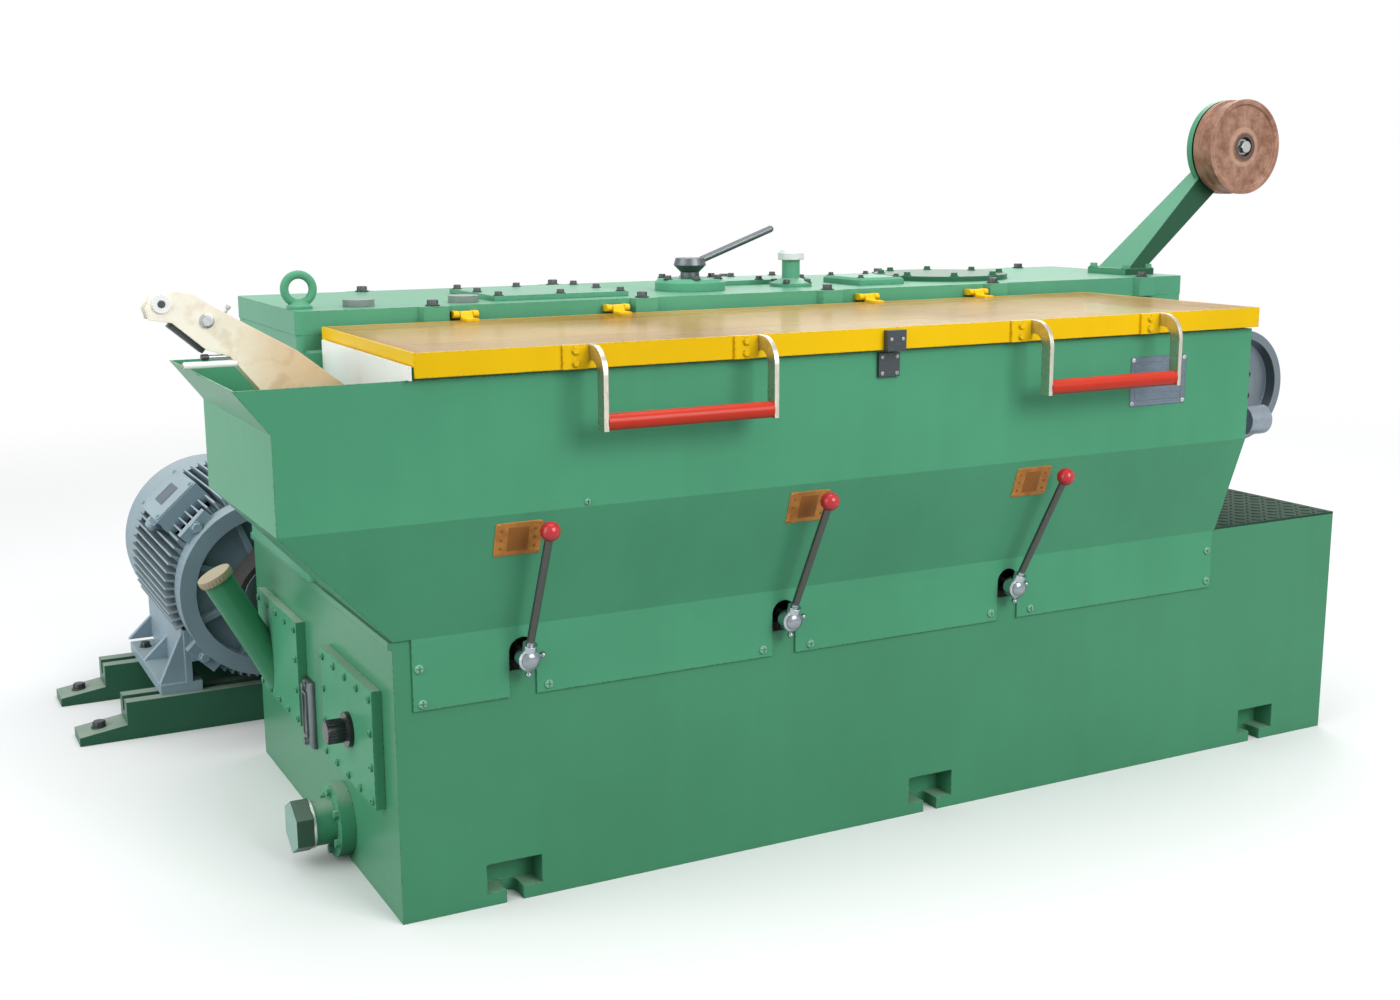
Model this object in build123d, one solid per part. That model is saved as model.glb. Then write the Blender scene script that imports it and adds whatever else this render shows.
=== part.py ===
from build123d import *
import os
from math import cos, radians, sin

# Wire drawing machine with an open-topped coolant tank, hinged lid, gearbox and belt motor.
# Millimetres. While building, x runs from the bed's left end, y from its front face, z from
# the floor; every piece is exported with the origin at the middle of the bed's underside.

# Bed
deck_length = 438
bed_depth = 1180
bed_height = 600
bed_rim_reach = 8
bed_rim_height = 16
pocket_inset = 246
pocket_count = 3
pocket_width = 124
pocket_height = 64
pocket_sill = 28
pocket_depth = 60
foot_slot = 38
tread_thickness = 6

# Tank sheet
sheet = 5
tank_front_reach = 92
tank_left_reach = 236
tank_length = 2186
tank_depth = 505
crease_height = 252
flare_height = 442
flare_reach = 65
tank_height = 527
apron_drop = 150
apron_left_inset = 38
apron_right_inset = 5
partition_x = 22
partition_overlap = 3
ledge_thickness = 8

# Gear levers in the apron
lever_first = 274
lever_pitch = 624
lever_leans = (2.6, 7.0, 11.0)
lever_drop = 65
lever_hub_diameter = 48
lever_hub_length = 34
lever_gap = 9
lever_rise = 285
lever_throw = 105
lever_rod_diameter = 17
lever_knob_diameter = 41
lever_shaft_diameter = 28
lever_bearing_depth = 40
notch_width = 60
notch_top_drop = 25
recess_depth = 60

# Gearbox
gear_left = -15
gear_right_inset = 47
gear_setback = 53
gear_back_inset = 38
gear_corner = 18
cover_base_height = 560
cover_thickness = 53
cover_overhang = 2
boss_left_inset = 315
boss_right_inset = 150
boss_count = 5
boss_width = 60
boss_flank = 8
boss_reach = 18

# Gearbox top fittings; shares place them along the gearbox
fitting_setback = 192
front_fitting_setback = 88
eye_share = 0.0112
eye_ring = 64
eye_wire = 19
eye_collar_diameter = 58
eye_collar_height = 12
oil_cap_shares = (0.0637, 0.1609)
oil_cap_diameter = 72
oil_cap_height = 16
shift_share = 0.414
shift_boss_diameter = 182
shift_boss_height = 30
shift_spindle_diameter = 30
shift_spindle_depth = 24
shift_hub_diameter = 84
shift_hub_foot = 48
shift_hub_height = 52
shift_bar_diameter = 18
shift_bar_length = 255
shift_bar_rise = 20
breather_share = 0.5313
breather_flange_diameter = 112
breather_flange_height = 22
breather_post_diameter = 48
breather_post_height = 48
breather_cap_diameter = 70
breather_cap_height = 28
plate_cover_share = 0.189
plate_cover_length = 350
plate_cover_depth = 320
plate_cover_thickness = 12
rear_cover_share = 0.461
rear_cover_length = 300
rear_cover_depth = 190
rear_cover_thickness = 12
rear_cover_gap = 100
box_cover_share = 0.5926
box_cover_length = 144
box_cover_depth = 180
box_cover_thickness = 20
round_cover_share = 0.745
round_cover_diameter = 380
round_cover_thickness = 14

# Lid
lid_left_clearance = 5
lid_right_overhang = 4
lid_front_overhang = 17
lid_back_overhang = 27
lid_gap = 5
lid_height = 48
lid_end_height = 28
lid_angle_width = 50
lid_angle_thickness = 5
window_thickness = 8
window_edge_clearance = 1
hinge_lug_offsets = (68, -80, 107, -73)
hinge_offset = 6
hinge_axis_rise = 13
hinge_pin_diameter = 8
hinge_knuckle_diameter = 16
hinge_knuckle_length = 30
hinge_ear_length = 14
hinge_side_gap = 1
hinge_leaf_length = 44
hinge_leaf_thickness = 6
handle_left_inset = 358
handle_right_inset = 325
handle_length = 382
handle_leg_thickness = 10
handle_leg_width = 30
handle_reach = 75
handle_drop = 165
handle_corner = 55
handle_pad_width = 55
handle_pad_thickness = 6
grip_diameter = 34
latch_offset = -5
latch_block_width = 48
latch_block_height = 45
latch_block_depth = 16
latch_plate_offset = -7
latch_plate_width = 54
latch_plate_height = 52
latch_plate_thickness = 8
latch_plate_drop = 3

# Draw capstans and dies inside the tank
capstan_left_inset = 330
capstan_right_inset = 266
capstan_count = 4
capstan_rise = 300
capstan_largest = 240
capstan_step = 24
capstan_steps = 5
capstan_tread = 48
capstan_shaft_diameter = 70
capstan_shaft_clearance = 10
capstan_stand_off = 60
die_post_thickness = 40
die_post_depth = 240
die_post_height = 330
die_hole = 36

# Wire guide at the tank's left end
guide_y = 190
guide_thickness = 10
guide_spacing = 50
guide_roller_diameter = 46
guide_roller_flange = 58
guide_pin_diameter = 16
guide_foot_thickness = 8
guide_foot_margin = 20
guide_foot_low = -167
guide_foot_high = -60
guide_upper_edge = ((-110, 39), (-279, 138), (-302, 156), (-339, 163), (-380, 152), (-393, 132))
guide_lower_edge = ((-388, 110), (-346, 103), (-284, 48), (-241, 34), (-187, -34), (-100, -167))
guide_roller_places = ((-352, 133), (-250, 78), (-140, 12))

# Exit capstan and die holder at the right end
exit_offset = 327
exit_rise = 327
exit_reach = 308
exit_diameter = 306
exit_width = 62
exit_groove = 12
exit_hub_diameter = 120
exit_shaft_diameter = 60
exit_boss_diameter = 150
exit_boss_nose = 110
exit_boss_length = 170
exit_die_y = 96
exit_die_rise = 245
exit_die_reach = 250
exit_die_plate = 12

# Guide pulley on its arm
pulley_reach = 246
pulley_rise = 368
pulley_setback = 27
pulley_diameter = 274
pulley_width = 70
pulley_gap = 7
pulley_axle_diameter = 36
pulley_disc_thickness = 20
arm_foot_inset = 114
arm_foot_width = 65
arm_foot_depth = 130
arm_tip_depth = 45
arm_tip_width = 80
arm_angle = 42.9
arm_length = 412
arm_flange_margin = 22
arm_flange_thickness = 18

# Left end fittings
side_cover_inset = 86
side_cover_rear_inset = 103
side_cover_gap = 217
side_cover_bottom = 222
side_cover_height = 254
side_cover_thickness = 22
gauge_gap = 4
gauge_bottom = 182
gauge_width = 62
gauge_height = 163
gauge_depth = 17
plug_y = 261
plug_z = 345
plug_flange_diameter = 77
plug_flange_length = 10
plug_knob_diameter = 50
plug_knob_length = 42
outlet_y = 405
outlet_z = 90
outlet_flange_diameter = 166
outlet_flange_thickness = 33
outlet_pipe_diameter = 102
outlet_pipe_length = 52
outlet_cap_diameter = 122
outlet_cap_length = 38
filler_inset = 205
filler_z = 312
filler_tilt = 28
filler_diameter = 76
filler_length = 250
filler_cap_diameter = 86
filler_cap_length = 18

# Motor on its rails
motor_x = 88
motor_clearance = 220
motor_shaft_height = 285
rail_setback = 55
rail_end_inset = 165
rail_width = 110
rail_height = 105
rail_reach = 520
rail_tip_length = 125
rail_tip_height = 42
rail_slot = 30
rail_slot_depth = 40
rail_toe = 24
shield_rim_diameter = 492
shield_rim_width = 44
shield_depth = 75
shield_web = 20
shield_hub_diameter = 160
shield_rib = 16
shield_rib_count = 8
shield_lug = 96
frame_diameter = 470
frame_length = 555
fin_height = 36
fin_thickness = 5
fin_count = 72
foot_width = 112
foot_spread = 598
foot_thickness = 28
foot_overlap = 22
foot_rib = 18
foot_web = 18
foot_pad_half = 212
foot_pad_low = 200
foot_pad_high = 110
foot_pad_inner = 150
cowl_diameter = 514
cowl_length = 230
cowl_corner = 40
terminal_angle = 132
terminal_width = 150
terminal_length = 250
terminal_height = 60

# Belt drive
sheave_face = 140
sheave_gap = 35
motor_sheave_diameter = 234
motor_shaft_diameter = 75
driven_sheave_diameter = 480
driven_x = 760
driven_rise = 250
driven_shaft_diameter = 80
sheave_hub_diameter = 150
groove_count = 5
groove_depth = 15
groove_top = 20
groove_floor = 9
belt_thickness = 12
belt_clearance = 0.2

# Running clearances, on the diameter
turn_clearance = 0.1
seat_gap = 0.3

bed_length = tank_length + deck_length
pocket_pitch = (bed_length - 2 * pocket_inset) / (pocket_count - 1)
gear_right = bed_length - gear_right_inset
gear_front = tank_depth + gear_setback
gear_back = bed_depth - gear_back_inset
gear_span = gear_right - gear_left
eye_x = gear_left + eye_share * gear_span
oil_cap_places = [gear_left + share * gear_span for share in oil_cap_shares]
shift_x = gear_left + shift_share * gear_span
breather_x = gear_left + breather_share * gear_span
plate_cover_x = gear_left + plate_cover_share * gear_span
rear_cover_x = gear_left + rear_cover_share * gear_span
box_cover_x = gear_left + box_cover_share * gear_span
round_cover_x = gear_left + round_cover_share * gear_span
fitting_line = gear_front + fitting_setback
front_line = gear_front + front_fitting_setback
tank_top = bed_height + tank_height
crease_z = bed_height + crease_height
flare_z = bed_height + flare_height
case_top = bed_height + cover_base_height
cover_top = case_top + cover_thickness
cover_front = gear_front
lid_left = partition_x + sheet + lid_left_clearance
lid_right = tank_length + lid_right_overhang
lid_middle = (lid_left + lid_right) / 2
lid_back = tank_depth + lid_back_overhang
lid_bottom = tank_top + lid_gap
lid_top = lid_bottom + lid_height
lid_front = -tank_front_reach - lid_front_overhang
lever_z = bed_height - lever_drop
hub_back = -sheet - lever_gap
hub_middle = hub_back - lever_hub_length / 2
capstan_z = bed_height + capstan_rise
exit_x = tank_length + exit_offset
exit_z = bed_height + exit_rise
exit_face = gear_front - exit_reach
pulley_x = gear_right + pulley_reach
pulley_z = cover_top + pulley_rise
pulley_front = gear_front + pulley_setback
arm_foot_left = gear_right - arm_foot_inset
side_cover_length = (bed_depth - side_cover_inset - side_cover_rear_inset - side_cover_gap) / 2
side_cover_rear = bed_depth - side_cover_rear_inset - side_cover_length
gauge_y = side_cover_rear - gauge_gap - gauge_width / 2
filler_y = bed_depth - filler_inset
motor_front = bed_depth + motor_clearance
motor_z = rail_height + motor_shaft_height
rail_front = motor_front + rail_setback
rail_spacing = frame_length - rail_end_inset
driven_z = bed_height + driven_rise
sheave_back = motor_front - sheave_gap
sheave_front = sheave_back - sheave_face


def block(x0, x1, y0, y1, z0, z1):
    """Box between two opposite corners."""
    place = Pos((x0 + x1) / 2, (y0 + y1) / 2, (z0 + z1) / 2)
    return place * Box(x1 - x0, y1 - y0, z1 - z0)


def bar_x(y, z, x0, x1, diameter):
    """Round bar along X."""
    return Pos((x0 + x1) / 2, y, z) * Rot(0, 90, 0) * Cylinder(diameter / 2, x1 - x0)


def bar_y(x, z, y0, y1, diameter):
    """Round bar along Y."""
    return Pos(x, (y0 + y1) / 2, z) * Rot(90, 0, 0) * Cylinder(diameter / 2, y1 - y0)


def bar_z(x, y, z0, z1, diameter):
    """Round bar along Z."""
    return Pos(x, y, (z0 + z1) / 2) * Cylinder(diameter / 2, z1 - z0)


def bar_between(start, end, diameter):
    """Round bar from one point to another."""
    run = Vector(*end) - Vector(*start)
    low = (Align.CENTER, Align.CENTER, Align.MIN)
    return Plane(start, z_dir=run) * Cylinder(diameter / 2, run.length, align=low)


def slab_xz(outline, y0, y1):
    """Plate standing in the XZ plane, from an outline of (x, z) points."""
    face = Face(Wire.make_polygon([(x, y0, z) for x, z in outline]))
    return extrude(face, amount=y1 - y0, dir=(0, 1, 0))


def slab_yz(outline, x0, x1):
    """Plate standing in the YZ plane, from an outline of (y, z) points."""
    face = Face(Wire.make_polygon([(x0, y, z) for y, z in outline]))
    return extrude(face, amount=x1 - x0, dir=(1, 0, 0))


def slab_xy(outline, z0, z1):
    """Plate lying flat, from an outline of (x, y) points."""
    face = Face(Wire.make_polygon([(x, y, z0) for x, y in outline]))
    return extrude(face, amount=z1 - z0, dir=(0, 0, 1))


def turned_y(profile, x, z):
    """Turned piece about a line along Y, from (radius, y) points."""
    face = Face(Wire.make_polygon([(radius, y, 0) for radius, y in profile]))
    return Pos(x, 0, z) * revolve(face, axis=Axis.Y)


def turned_z(profile, x, y):
    """Turned piece about an upright line, from (radius, z) points."""
    face = Face(Wire.make_polygon([(radius, 0, z) for radius, z in profile]))
    return Pos(x, y, 0) * revolve(face, axis=Axis.Z)


def lever_places():
    """x of each gear lever."""
    return [lever_first + lever_pitch * i for i in range(len(lever_leans))]


def arch(x, z_low, z_top, width, y0, y1):
    """Upright slot with a round top, open below."""
    radius = width / 2
    straight = block(x - radius, x + radius, y0, y1, z_low, z_top - radius)
    return straight + bar_y(x, z_top - radius, y0, y1, width)


def bed():
    """Box bed with foot pockets along both sides and a recess behind each lever."""
    body = block(0, bed_length, 0, bed_depth, 0, bed_height)
    body += block(-bed_rim_reach, 0, 0, bed_depth, bed_height - bed_rim_height, bed_height)
    for i in range(pocket_count):
        x = pocket_inset + pocket_pitch * i
        half = pocket_width / 2
        top = pocket_sill + pocket_height
        slot_end = pocket_depth - foot_slot / 2
        for y0, y1, turn in ((0, pocket_depth, 1), (bed_depth - pocket_depth, bed_depth, -1)):
            body -= block(x - half, x + half, y0, y1, pocket_sill, top)
            face_y = 0 if turn > 0 else bed_depth
            inner = face_y + turn * slot_end
            body -= block(x - foot_slot / 2, x + foot_slot / 2, min(face_y, inner), max(face_y, inner),
                          0, pocket_sill)
            body -= bar_z(x, inner, 0, pocket_sill, foot_slot)
    for x in lever_places():
        low = lever_z - notch_width / 2
        body -= arch(x, low, bed_height - notch_top_drop, notch_width, 0, recess_depth)
        bore = lever_shaft_diameter + turn_clearance
        body -= bar_y(x, lever_z, recess_depth, recess_depth + lever_bearing_depth, bore)
    return body


def tread_plate():
    """Tread plate over the right end of the bed, in front of the gearbox."""
    left = tank_length + sheet
    return block(left, bed_length, 0, gear_front - sheet, bed_height, bed_height + tread_thickness)


def tank_inner_outline(top=tank_top):
    """Side view of the tank's inside, from the front sheet to the back sheet."""
    front = -tank_front_reach + sheet
    back = tank_depth - sheet
    return [(front, top), (front, crease_z), (0, bed_height), (back, bed_height), (back, top)]


def tank_front():
    """Bent front sheet: upright wall, slope under it and the apron with its lever notches."""
    outer = -tank_front_reach
    inner = outer + sheet
    apron_z = bed_height - apron_drop
    side = [(outer, tank_top), (outer, crease_z), (-sheet, bed_height), (-sheet, apron_z),
            (0, apron_z), (0, bed_height), (inner, crease_z), (inner, tank_top)]
    front = [(-tank_left_reach - flare_reach, tank_top), (-tank_left_reach, flare_z),
             (-tank_left_reach, crease_z), (0, bed_height), (apron_left_inset, bed_height),
             (apron_left_inset, apron_z), (tank_length - apron_right_inset, apron_z),
             (tank_length - apron_right_inset, bed_height), (tank_length, bed_height),
             (tank_length, tank_top)]
    whole = slab_yz(side, -tank_left_reach - flare_reach, tank_length)
    body = whole & slab_xz(front, outer, 0)
    for x in lever_places():
        body -= arch(x, apron_z, bed_height - notch_top_drop, notch_width, -sheet, 0)
    return body


def tank_left_end():
    """Left end sheet: hopper slope, upright wall and flared lip."""
    outer = [(-tank_left_reach - flare_reach, tank_top), (-tank_left_reach, flare_z),
             (-tank_left_reach, crease_z), (0, bed_height)]
    inner = [(x + sheet, z) for x, z in reversed(outer)]
    bent = slab_xz(outer + inner, -tank_front_reach, tank_depth)
    return bent & slab_yz(tank_inner_outline(), -tank_left_reach - flare_reach, sheet)


def tank_right_end():
    """Flat right end sheet."""
    return slab_yz(tank_inner_outline(), tank_length - sheet, tank_length)


def capstan_places():
    """x of each draw capstan."""
    pitch = (tank_length - capstan_left_inset - capstan_right_inset) / (capstan_count - 1)
    return [capstan_left_inset + pitch * i for i in range(capstan_count)]


def tank_back():
    """Back sheet with holes for the capstan shafts and the ledge that carries the lid hinges."""
    back = [(-tank_left_reach - flare_reach, tank_top), (-tank_left_reach, flare_z),
            (-tank_left_reach, crease_z), (0, bed_height), (tank_length, bed_height),
            (tank_length, tank_top)]
    body = slab_xz(back, tank_depth - sheet, tank_depth)
    body += block(0, tank_length, tank_depth, gear_front, tank_top - ledge_thickness, tank_top)
    hole = capstan_shaft_diameter + 2 * capstan_shaft_clearance
    for x in capstan_places():
        body -= bar_y(x, capstan_z, tank_depth - sheet, tank_depth, hole)
    return body


def tank_partition():
    """Splash plate across the tank under the lid's left end, with a tab over the front edge."""
    top = lid_top - lid_end_height + partition_overlap
    plate = slab_yz(tank_inner_outline(top), partition_x, partition_x + sheet)
    return plate + block(partition_x, partition_x + sheet, lid_front + 1, sheet - tank_front_reach, tank_top + 1, top)


def gearbox_case():
    """Gear case on the bed, with the nose that carries the exit capstan's shaft."""
    body = block(gear_left, gear_right, gear_front, gear_back, bed_height, case_top)
    body = fillet(body.edges().filter_by(Axis.Z), gear_corner)
    nose = [(0, gear_front - exit_boss_length), (exit_boss_nose / 2, gear_front - exit_boss_length),
            (exit_boss_diameter / 2, gear_front), (0, gear_front)]
    body += turned_y(nose, exit_x, exit_z)
    bore = exit_shaft_diameter + turn_clearance
    return body - bar_y(exit_x, exit_z, gear_front - exit_boss_length, gear_front, bore)


def boss_places():
    """x of each bolt lug along the gearbox cover."""
    pitch = (gear_span - boss_left_inset - boss_right_inset) / (boss_count - 1)
    return [gear_left + boss_left_inset + pitch * i for i in range(boss_count)]


def gearbox_cover():
    """Thick top cover with bolt lugs along its front and back edges."""
    left = gear_left - cover_overhang
    right = gear_right + cover_overhang
    back = gear_back + cover_overhang
    body = block(left, right, cover_front, back, case_top, cover_top)
    body = fillet(body.edges().filter_by(Axis.Z), gear_corner)
    half = boss_width / 2
    for x in boss_places():
        for face_y, reach in ((cover_front, -boss_reach), (back, boss_reach)):
            lug = [(x - half - boss_flank, face_y), (x - half, face_y + reach),
                   (x + half, face_y + reach), (x + half + boss_flank, face_y)]
            body += slab_xy(lug, case_top, cover_top)
    return body


def inspection_covers():
    """Flat, raised and round covers on the gearbox top."""
    y0 = fitting_line + 40 - plate_cover_depth / 2
    plate = block(plate_cover_x, plate_cover_x + plate_cover_length, y0, y0 + plate_cover_depth,
                  cover_top, cover_top + plate_cover_thickness)
    y1 = fitting_line - box_cover_depth / 2
    raised = block(box_cover_x, box_cover_x + box_cover_length, y1, y1 + box_cover_depth,
                   cover_top, cover_top + box_cover_thickness)
    raised = chamfer(raised.faces().sort_by(Axis.Z)[-1].edges(), box_cover_thickness / 3)
    disc = bar_z(round_cover_x, fitting_line + 90, cover_top, cover_top + round_cover_thickness, round_cover_diameter)
    y2 = fitting_line + rear_cover_gap
    rear = block(rear_cover_x, rear_cover_x + rear_cover_length, y2, y2 + rear_cover_depth,
                 cover_top, cover_top + rear_cover_thickness)
    return Part() + plate + rear + raised + disc


def oil_caps():
    """Two low round oil caps."""
    caps = Part()
    for x in oil_cap_places:
        caps += bar_z(x, front_line, cover_top, cover_top + oil_cap_height, oil_cap_diameter)
    return caps


def eye_bolt():
    """Lifting eye with its collar."""
    middle = cover_top + eye_collar_height + eye_ring / 2
    ring = Pos(eye_x, front_line, middle) * Rot(90, 0, 0) * Torus(eye_ring / 2, eye_wire / 2)
    collar_top = cover_top + eye_collar_height + eye_wire / 2
    collar = turned_z([(0, cover_top), (eye_collar_diameter / 2, cover_top),
                       (eye_collar_diameter / 2, cover_top + eye_collar_height / 2),
                       (eye_wire / 2, collar_top), (0, collar_top)], eye_x, front_line)
    return ring + collar


def shift_boss():
    """Round seat of the shift handle."""
    body = turned_z([(0, cover_top), (shift_boss_diameter / 2, cover_top),
                     (shift_boss_diameter / 2, cover_top + shift_boss_height * 0.7),
                     (shift_boss_diameter / 2 - 8, cover_top + shift_boss_height),
                     (0, cover_top + shift_boss_height)], shift_x, fitting_line)
    top = cover_top + shift_boss_height
    bore = shift_spindle_diameter + turn_clearance
    return body - bar_z(shift_x, fitting_line, top - shift_spindle_depth - seat_gap, top, bore)


def shift_handle():
    """Swivelling handle: spindle, hub and sloping bar."""
    top = cover_top + shift_boss_height
    hub_low = top + seat_gap
    hub = turned_z([(0, top - shift_spindle_depth), (shift_spindle_diameter / 2, top - shift_spindle_depth),
                    (shift_spindle_diameter / 2, hub_low), (shift_hub_foot / 2, hub_low),
                    (shift_hub_foot / 2, hub_low + shift_hub_height * 0.3),
                    (shift_hub_diameter / 2, hub_low + shift_hub_height * 0.65),
                    (shift_hub_diameter / 2 - 5, hub_low + shift_hub_height),
                    (0, hub_low + shift_hub_height)], 0, 0)
    start = (0, 0, hub_low + shift_hub_height * 0.65)
    end = (shift_bar_length * cos(radians(shift_bar_rise)), 0,
           start[2] + shift_bar_length * sin(radians(shift_bar_rise)))
    tip = Pos(*end) * Sphere(shift_bar_diameter / 2)
    return Pos(shift_x, fitting_line, 0) * (hub + bar_between(start, end, shift_bar_diameter) + tip)


def breather():
    """Oil filler and breather: flange, post and mushroom cap."""
    z1 = cover_top + breather_flange_height
    z2 = z1 + breather_post_height
    z3 = z2 + breather_cap_height
    flange = breather_flange_diameter / 2
    post = breather_post_diameter / 2
    cap = breather_cap_diameter / 2
    return turned_z([(0, cover_top), (flange, cover_top), (flange, cover_top + breather_flange_height * 0.4),
                     (post, z1), (post, z2), (cap, z2), (cap, z2 + breather_cap_height * 0.6),
                     (cap * 0.75, z3 - 2), (cap * 0.4, z3), (0, z3)], breather_x, fitting_line)


def lid_frame():
    """Angle frame of the lid with the seat of its window, handle pads and hinge knuckles."""
    t = lid_angle_thickness
    body = block(lid_left, lid_right, lid_front, lid_back, lid_bottom, lid_top)
    seat = lid_top - window_thickness
    body -= block(lid_left + t, lid_right - t, lid_front + t, lid_back - t, lid_bottom, seat - t)
    body -= block(lid_left + t, lid_right - t, lid_front + t, lid_back - t, seat, lid_top)
    w = lid_angle_width
    body -= block(lid_left + w, lid_right - w, lid_front + w, lid_back - w, seat - t, seat)
    for x0, x1 in ((lid_left, lid_left + t), (lid_right - t, lid_right)):
        body -= block(x0, x1, lid_front + t, lid_back - t, lid_bottom, lid_top - lid_end_height)
    for x in handle_leg_places():
        right = x - handle_leg_thickness / 2
        body += block(right - handle_pad_width, right, lid_front - handle_pad_thickness, lid_front,
                      lid_bottom, lid_top)
    axis_y = lid_back + hinge_offset
    axis_z = lid_top + hinge_axis_rise
    half = hinge_knuckle_length / 2
    radius = hinge_knuckle_diameter / 2
    for x in hinge_places():
        body += block(x - half, x + half, lid_back - hinge_leaf_length, lid_back, lid_top,
                      lid_top + hinge_leaf_thickness)
        body += slab_yz([(lid_back - radius, lid_top), (lid_back, lid_top), (axis_y + radius, axis_z),
                         (axis_y - radius, axis_z)], x - half, x + half)
        body += bar_x(axis_y, axis_z, x - half, x + half, hinge_knuckle_diameter)
        body -= bar_x(axis_y, axis_z, x - half, x + half, hinge_pin_diameter + turn_clearance)
    return body


def lid_window():
    """Amber sheet on the frame's seat, flush with its top edge."""
    inset = lid_angle_thickness + window_edge_clearance
    return block(lid_left + inset, lid_right - inset, lid_front + inset, lid_back - inset,
                 lid_top - window_thickness, lid_top)


def hinge_places():
    """x of each lid hinge, beside a bolt lug of the gearbox cover."""
    return [x + offset for x, offset in zip(boss_places(), hinge_lug_offsets)]


def lid_hinges():
    """Fixed hinge halves on the gearbox's front: two ears and the pin."""
    axis_y = lid_back + hinge_offset
    axis_z = lid_top + hinge_axis_rise
    radius = hinge_knuckle_diameter / 2
    inner = hinge_knuckle_length / 2 + hinge_side_gap
    outer = inner + hinge_ear_length
    hinges = Part()
    for x in hinge_places():
        hinge = bar_x(axis_y, axis_z, x - outer, x + outer, hinge_pin_diameter)
        for x0, x1 in ((x - outer, x - inner), (x + inner, x + outer)):
            hinge += block(x0, x1, axis_y, cover_front, axis_z - radius, axis_z + radius)
            hinge += bar_x(axis_y, axis_z, x0, x1, hinge_knuckle_diameter)
        hinges += hinge
    return hinges


def handle_leg_places():
    """x of each handle leg: a pair set in from each end of the lid."""
    left = lid_left + handle_left_inset
    right = lid_right - handle_right_inset
    return [left, left + handle_length, right - handle_length, right]


def handle_legs():
    """Four bent flat legs that hang the two grips before the lid's front edge."""
    outer_y = lid_front - handle_reach
    inner_y = outer_y + handle_leg_width
    low = lid_top - handle_drop
    with BuildSketch(Plane.YZ) as side:
        with BuildLine():
            Polyline((lid_front, lid_top - handle_leg_width), (lid_front, lid_top),
                     (lid_front - handle_reach + handle_corner, lid_top))
            TangentArc((lid_front - handle_reach + handle_corner, lid_top), (outer_y, lid_top - handle_corner),
                       tangent=(-1, 0))
            Polyline((outer_y, lid_top - handle_corner), (outer_y, low), (inner_y, low),
                     (inner_y, lid_top - handle_corner))
            TangentArc((inner_y, lid_top - handle_corner),
                       (inner_y + handle_corner - handle_leg_width, lid_top - handle_leg_width), tangent=(0, 1))
            Line((inner_y + handle_corner - handle_leg_width, lid_top - handle_leg_width),
                 (lid_front, lid_top - handle_leg_width))
        make_face()
    legs = Part()
    for x in handle_leg_places():
        start = x - handle_leg_thickness / 2
        legs += Pos(start, 0, 0) * extrude(side.sketch, amount=handle_leg_thickness)
    return legs


def handle_grips():
    """Two red grip tubes, each between a pair of legs."""
    y = lid_front - handle_reach + handle_leg_width / 2
    z = lid_top - handle_drop + grip_diameter / 2
    half = handle_leg_thickness / 2
    grips = Part()
    places = handle_leg_places()
    for left, right in (places[:2], places[2:]):
        grips += bar_x(y, z, left + half, right - half, grip_diameter)
    return grips


def latch_block():
    """Switch block on the lid's front edge."""
    half = latch_block_width / 2
    top = lid_top - lid_angle_thickness
    x = lid_middle + latch_offset
    return block(x - half, x + half, lid_front - latch_block_depth, lid_front,
                 top - latch_block_height, top)


def latch_plate():
    """Keeper plate on the tank's front, below the switch block."""
    half = latch_plate_width / 2
    top = tank_top - latch_plate_drop
    x = lid_middle + latch_plate_offset
    return block(x - half, x + half, -tank_front_reach - latch_plate_thickness,
                 -tank_front_reach, top - latch_plate_height, top)


def lever_run():
    """Unit direction of a lever's rod before it leans sideways."""
    return Vector(0, -lever_throw, lever_rise).normalized()


def lever_place(i):
    """Place of lever i: its hub's middle, turned by its lean."""
    return Pos(lever_places()[i], hub_middle, lever_z) * Rot(0, lever_leans[i], 0)


def lever_arm(i):
    """Lever i: shaft into the bed, hub with a socket, and rod."""
    half = lever_hub_length / 2
    shaft_end = recess_depth + lever_bearing_depth - seat_gap - hub_middle
    hub = bar_y(0, 0, -half, half, lever_hub_diameter)
    hub = chamfer(hub.edges().filter_by(GeomType.CIRCLE), 4)
    hub += bar_y(0, 0, half, shaft_end, lever_shaft_diameter)
    length = Vector(0, -lever_throw, lever_rise).length
    socket = lever_run() * (lever_hub_diameter * 0.75)
    hub += bar_between((0, 0, 0), tuple(socket), lever_rod_diameter * 1.8)
    rod_end = lever_run() * (length - lever_knob_diameter * 0.4)
    return lever_place(i) * (hub + bar_between((0, 0, 0), tuple(rod_end), lever_rod_diameter))


def lever_knob(i):
    """Ball knob of lever i, flat where it sits on the rod."""
    length = Vector(0, -lever_throw, lever_rise).length
    ball = Pos(*(lever_run() * length)) * Sphere(lever_knob_diameter / 2)
    seat = Plane(tuple(lever_run() * (length - lever_knob_diameter * 0.4)), z_dir=lever_run())
    size = 2 * lever_knob_diameter
    below = seat * Box(size, size, size, align=(Align.CENTER, Align.CENTER, Align.MAX))
    return lever_place(i) * (ball - below)


def draw_capstans():
    """Stepped draw cones on their shafts, seen through the window."""
    tip = tank_depth - sheet - capstan_stand_off - capstan_tread * capstan_steps
    profile = [(0, tip)]
    for i in range(capstan_steps):
        radius = (capstan_largest - capstan_step * (capstan_steps - 1 - i)) / 2
        profile += [(radius, tip + capstan_tread * i), (radius, tip + capstan_tread * (i + 1))]
    end = tip + capstan_tread * capstan_steps
    profile += [(capstan_shaft_diameter / 2, end), (capstan_shaft_diameter / 2, gear_front), (0, gear_front)]
    cones = Part()
    for x in capstan_places():
        cones += turned_y(profile, x, capstan_z)
    return cones


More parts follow.
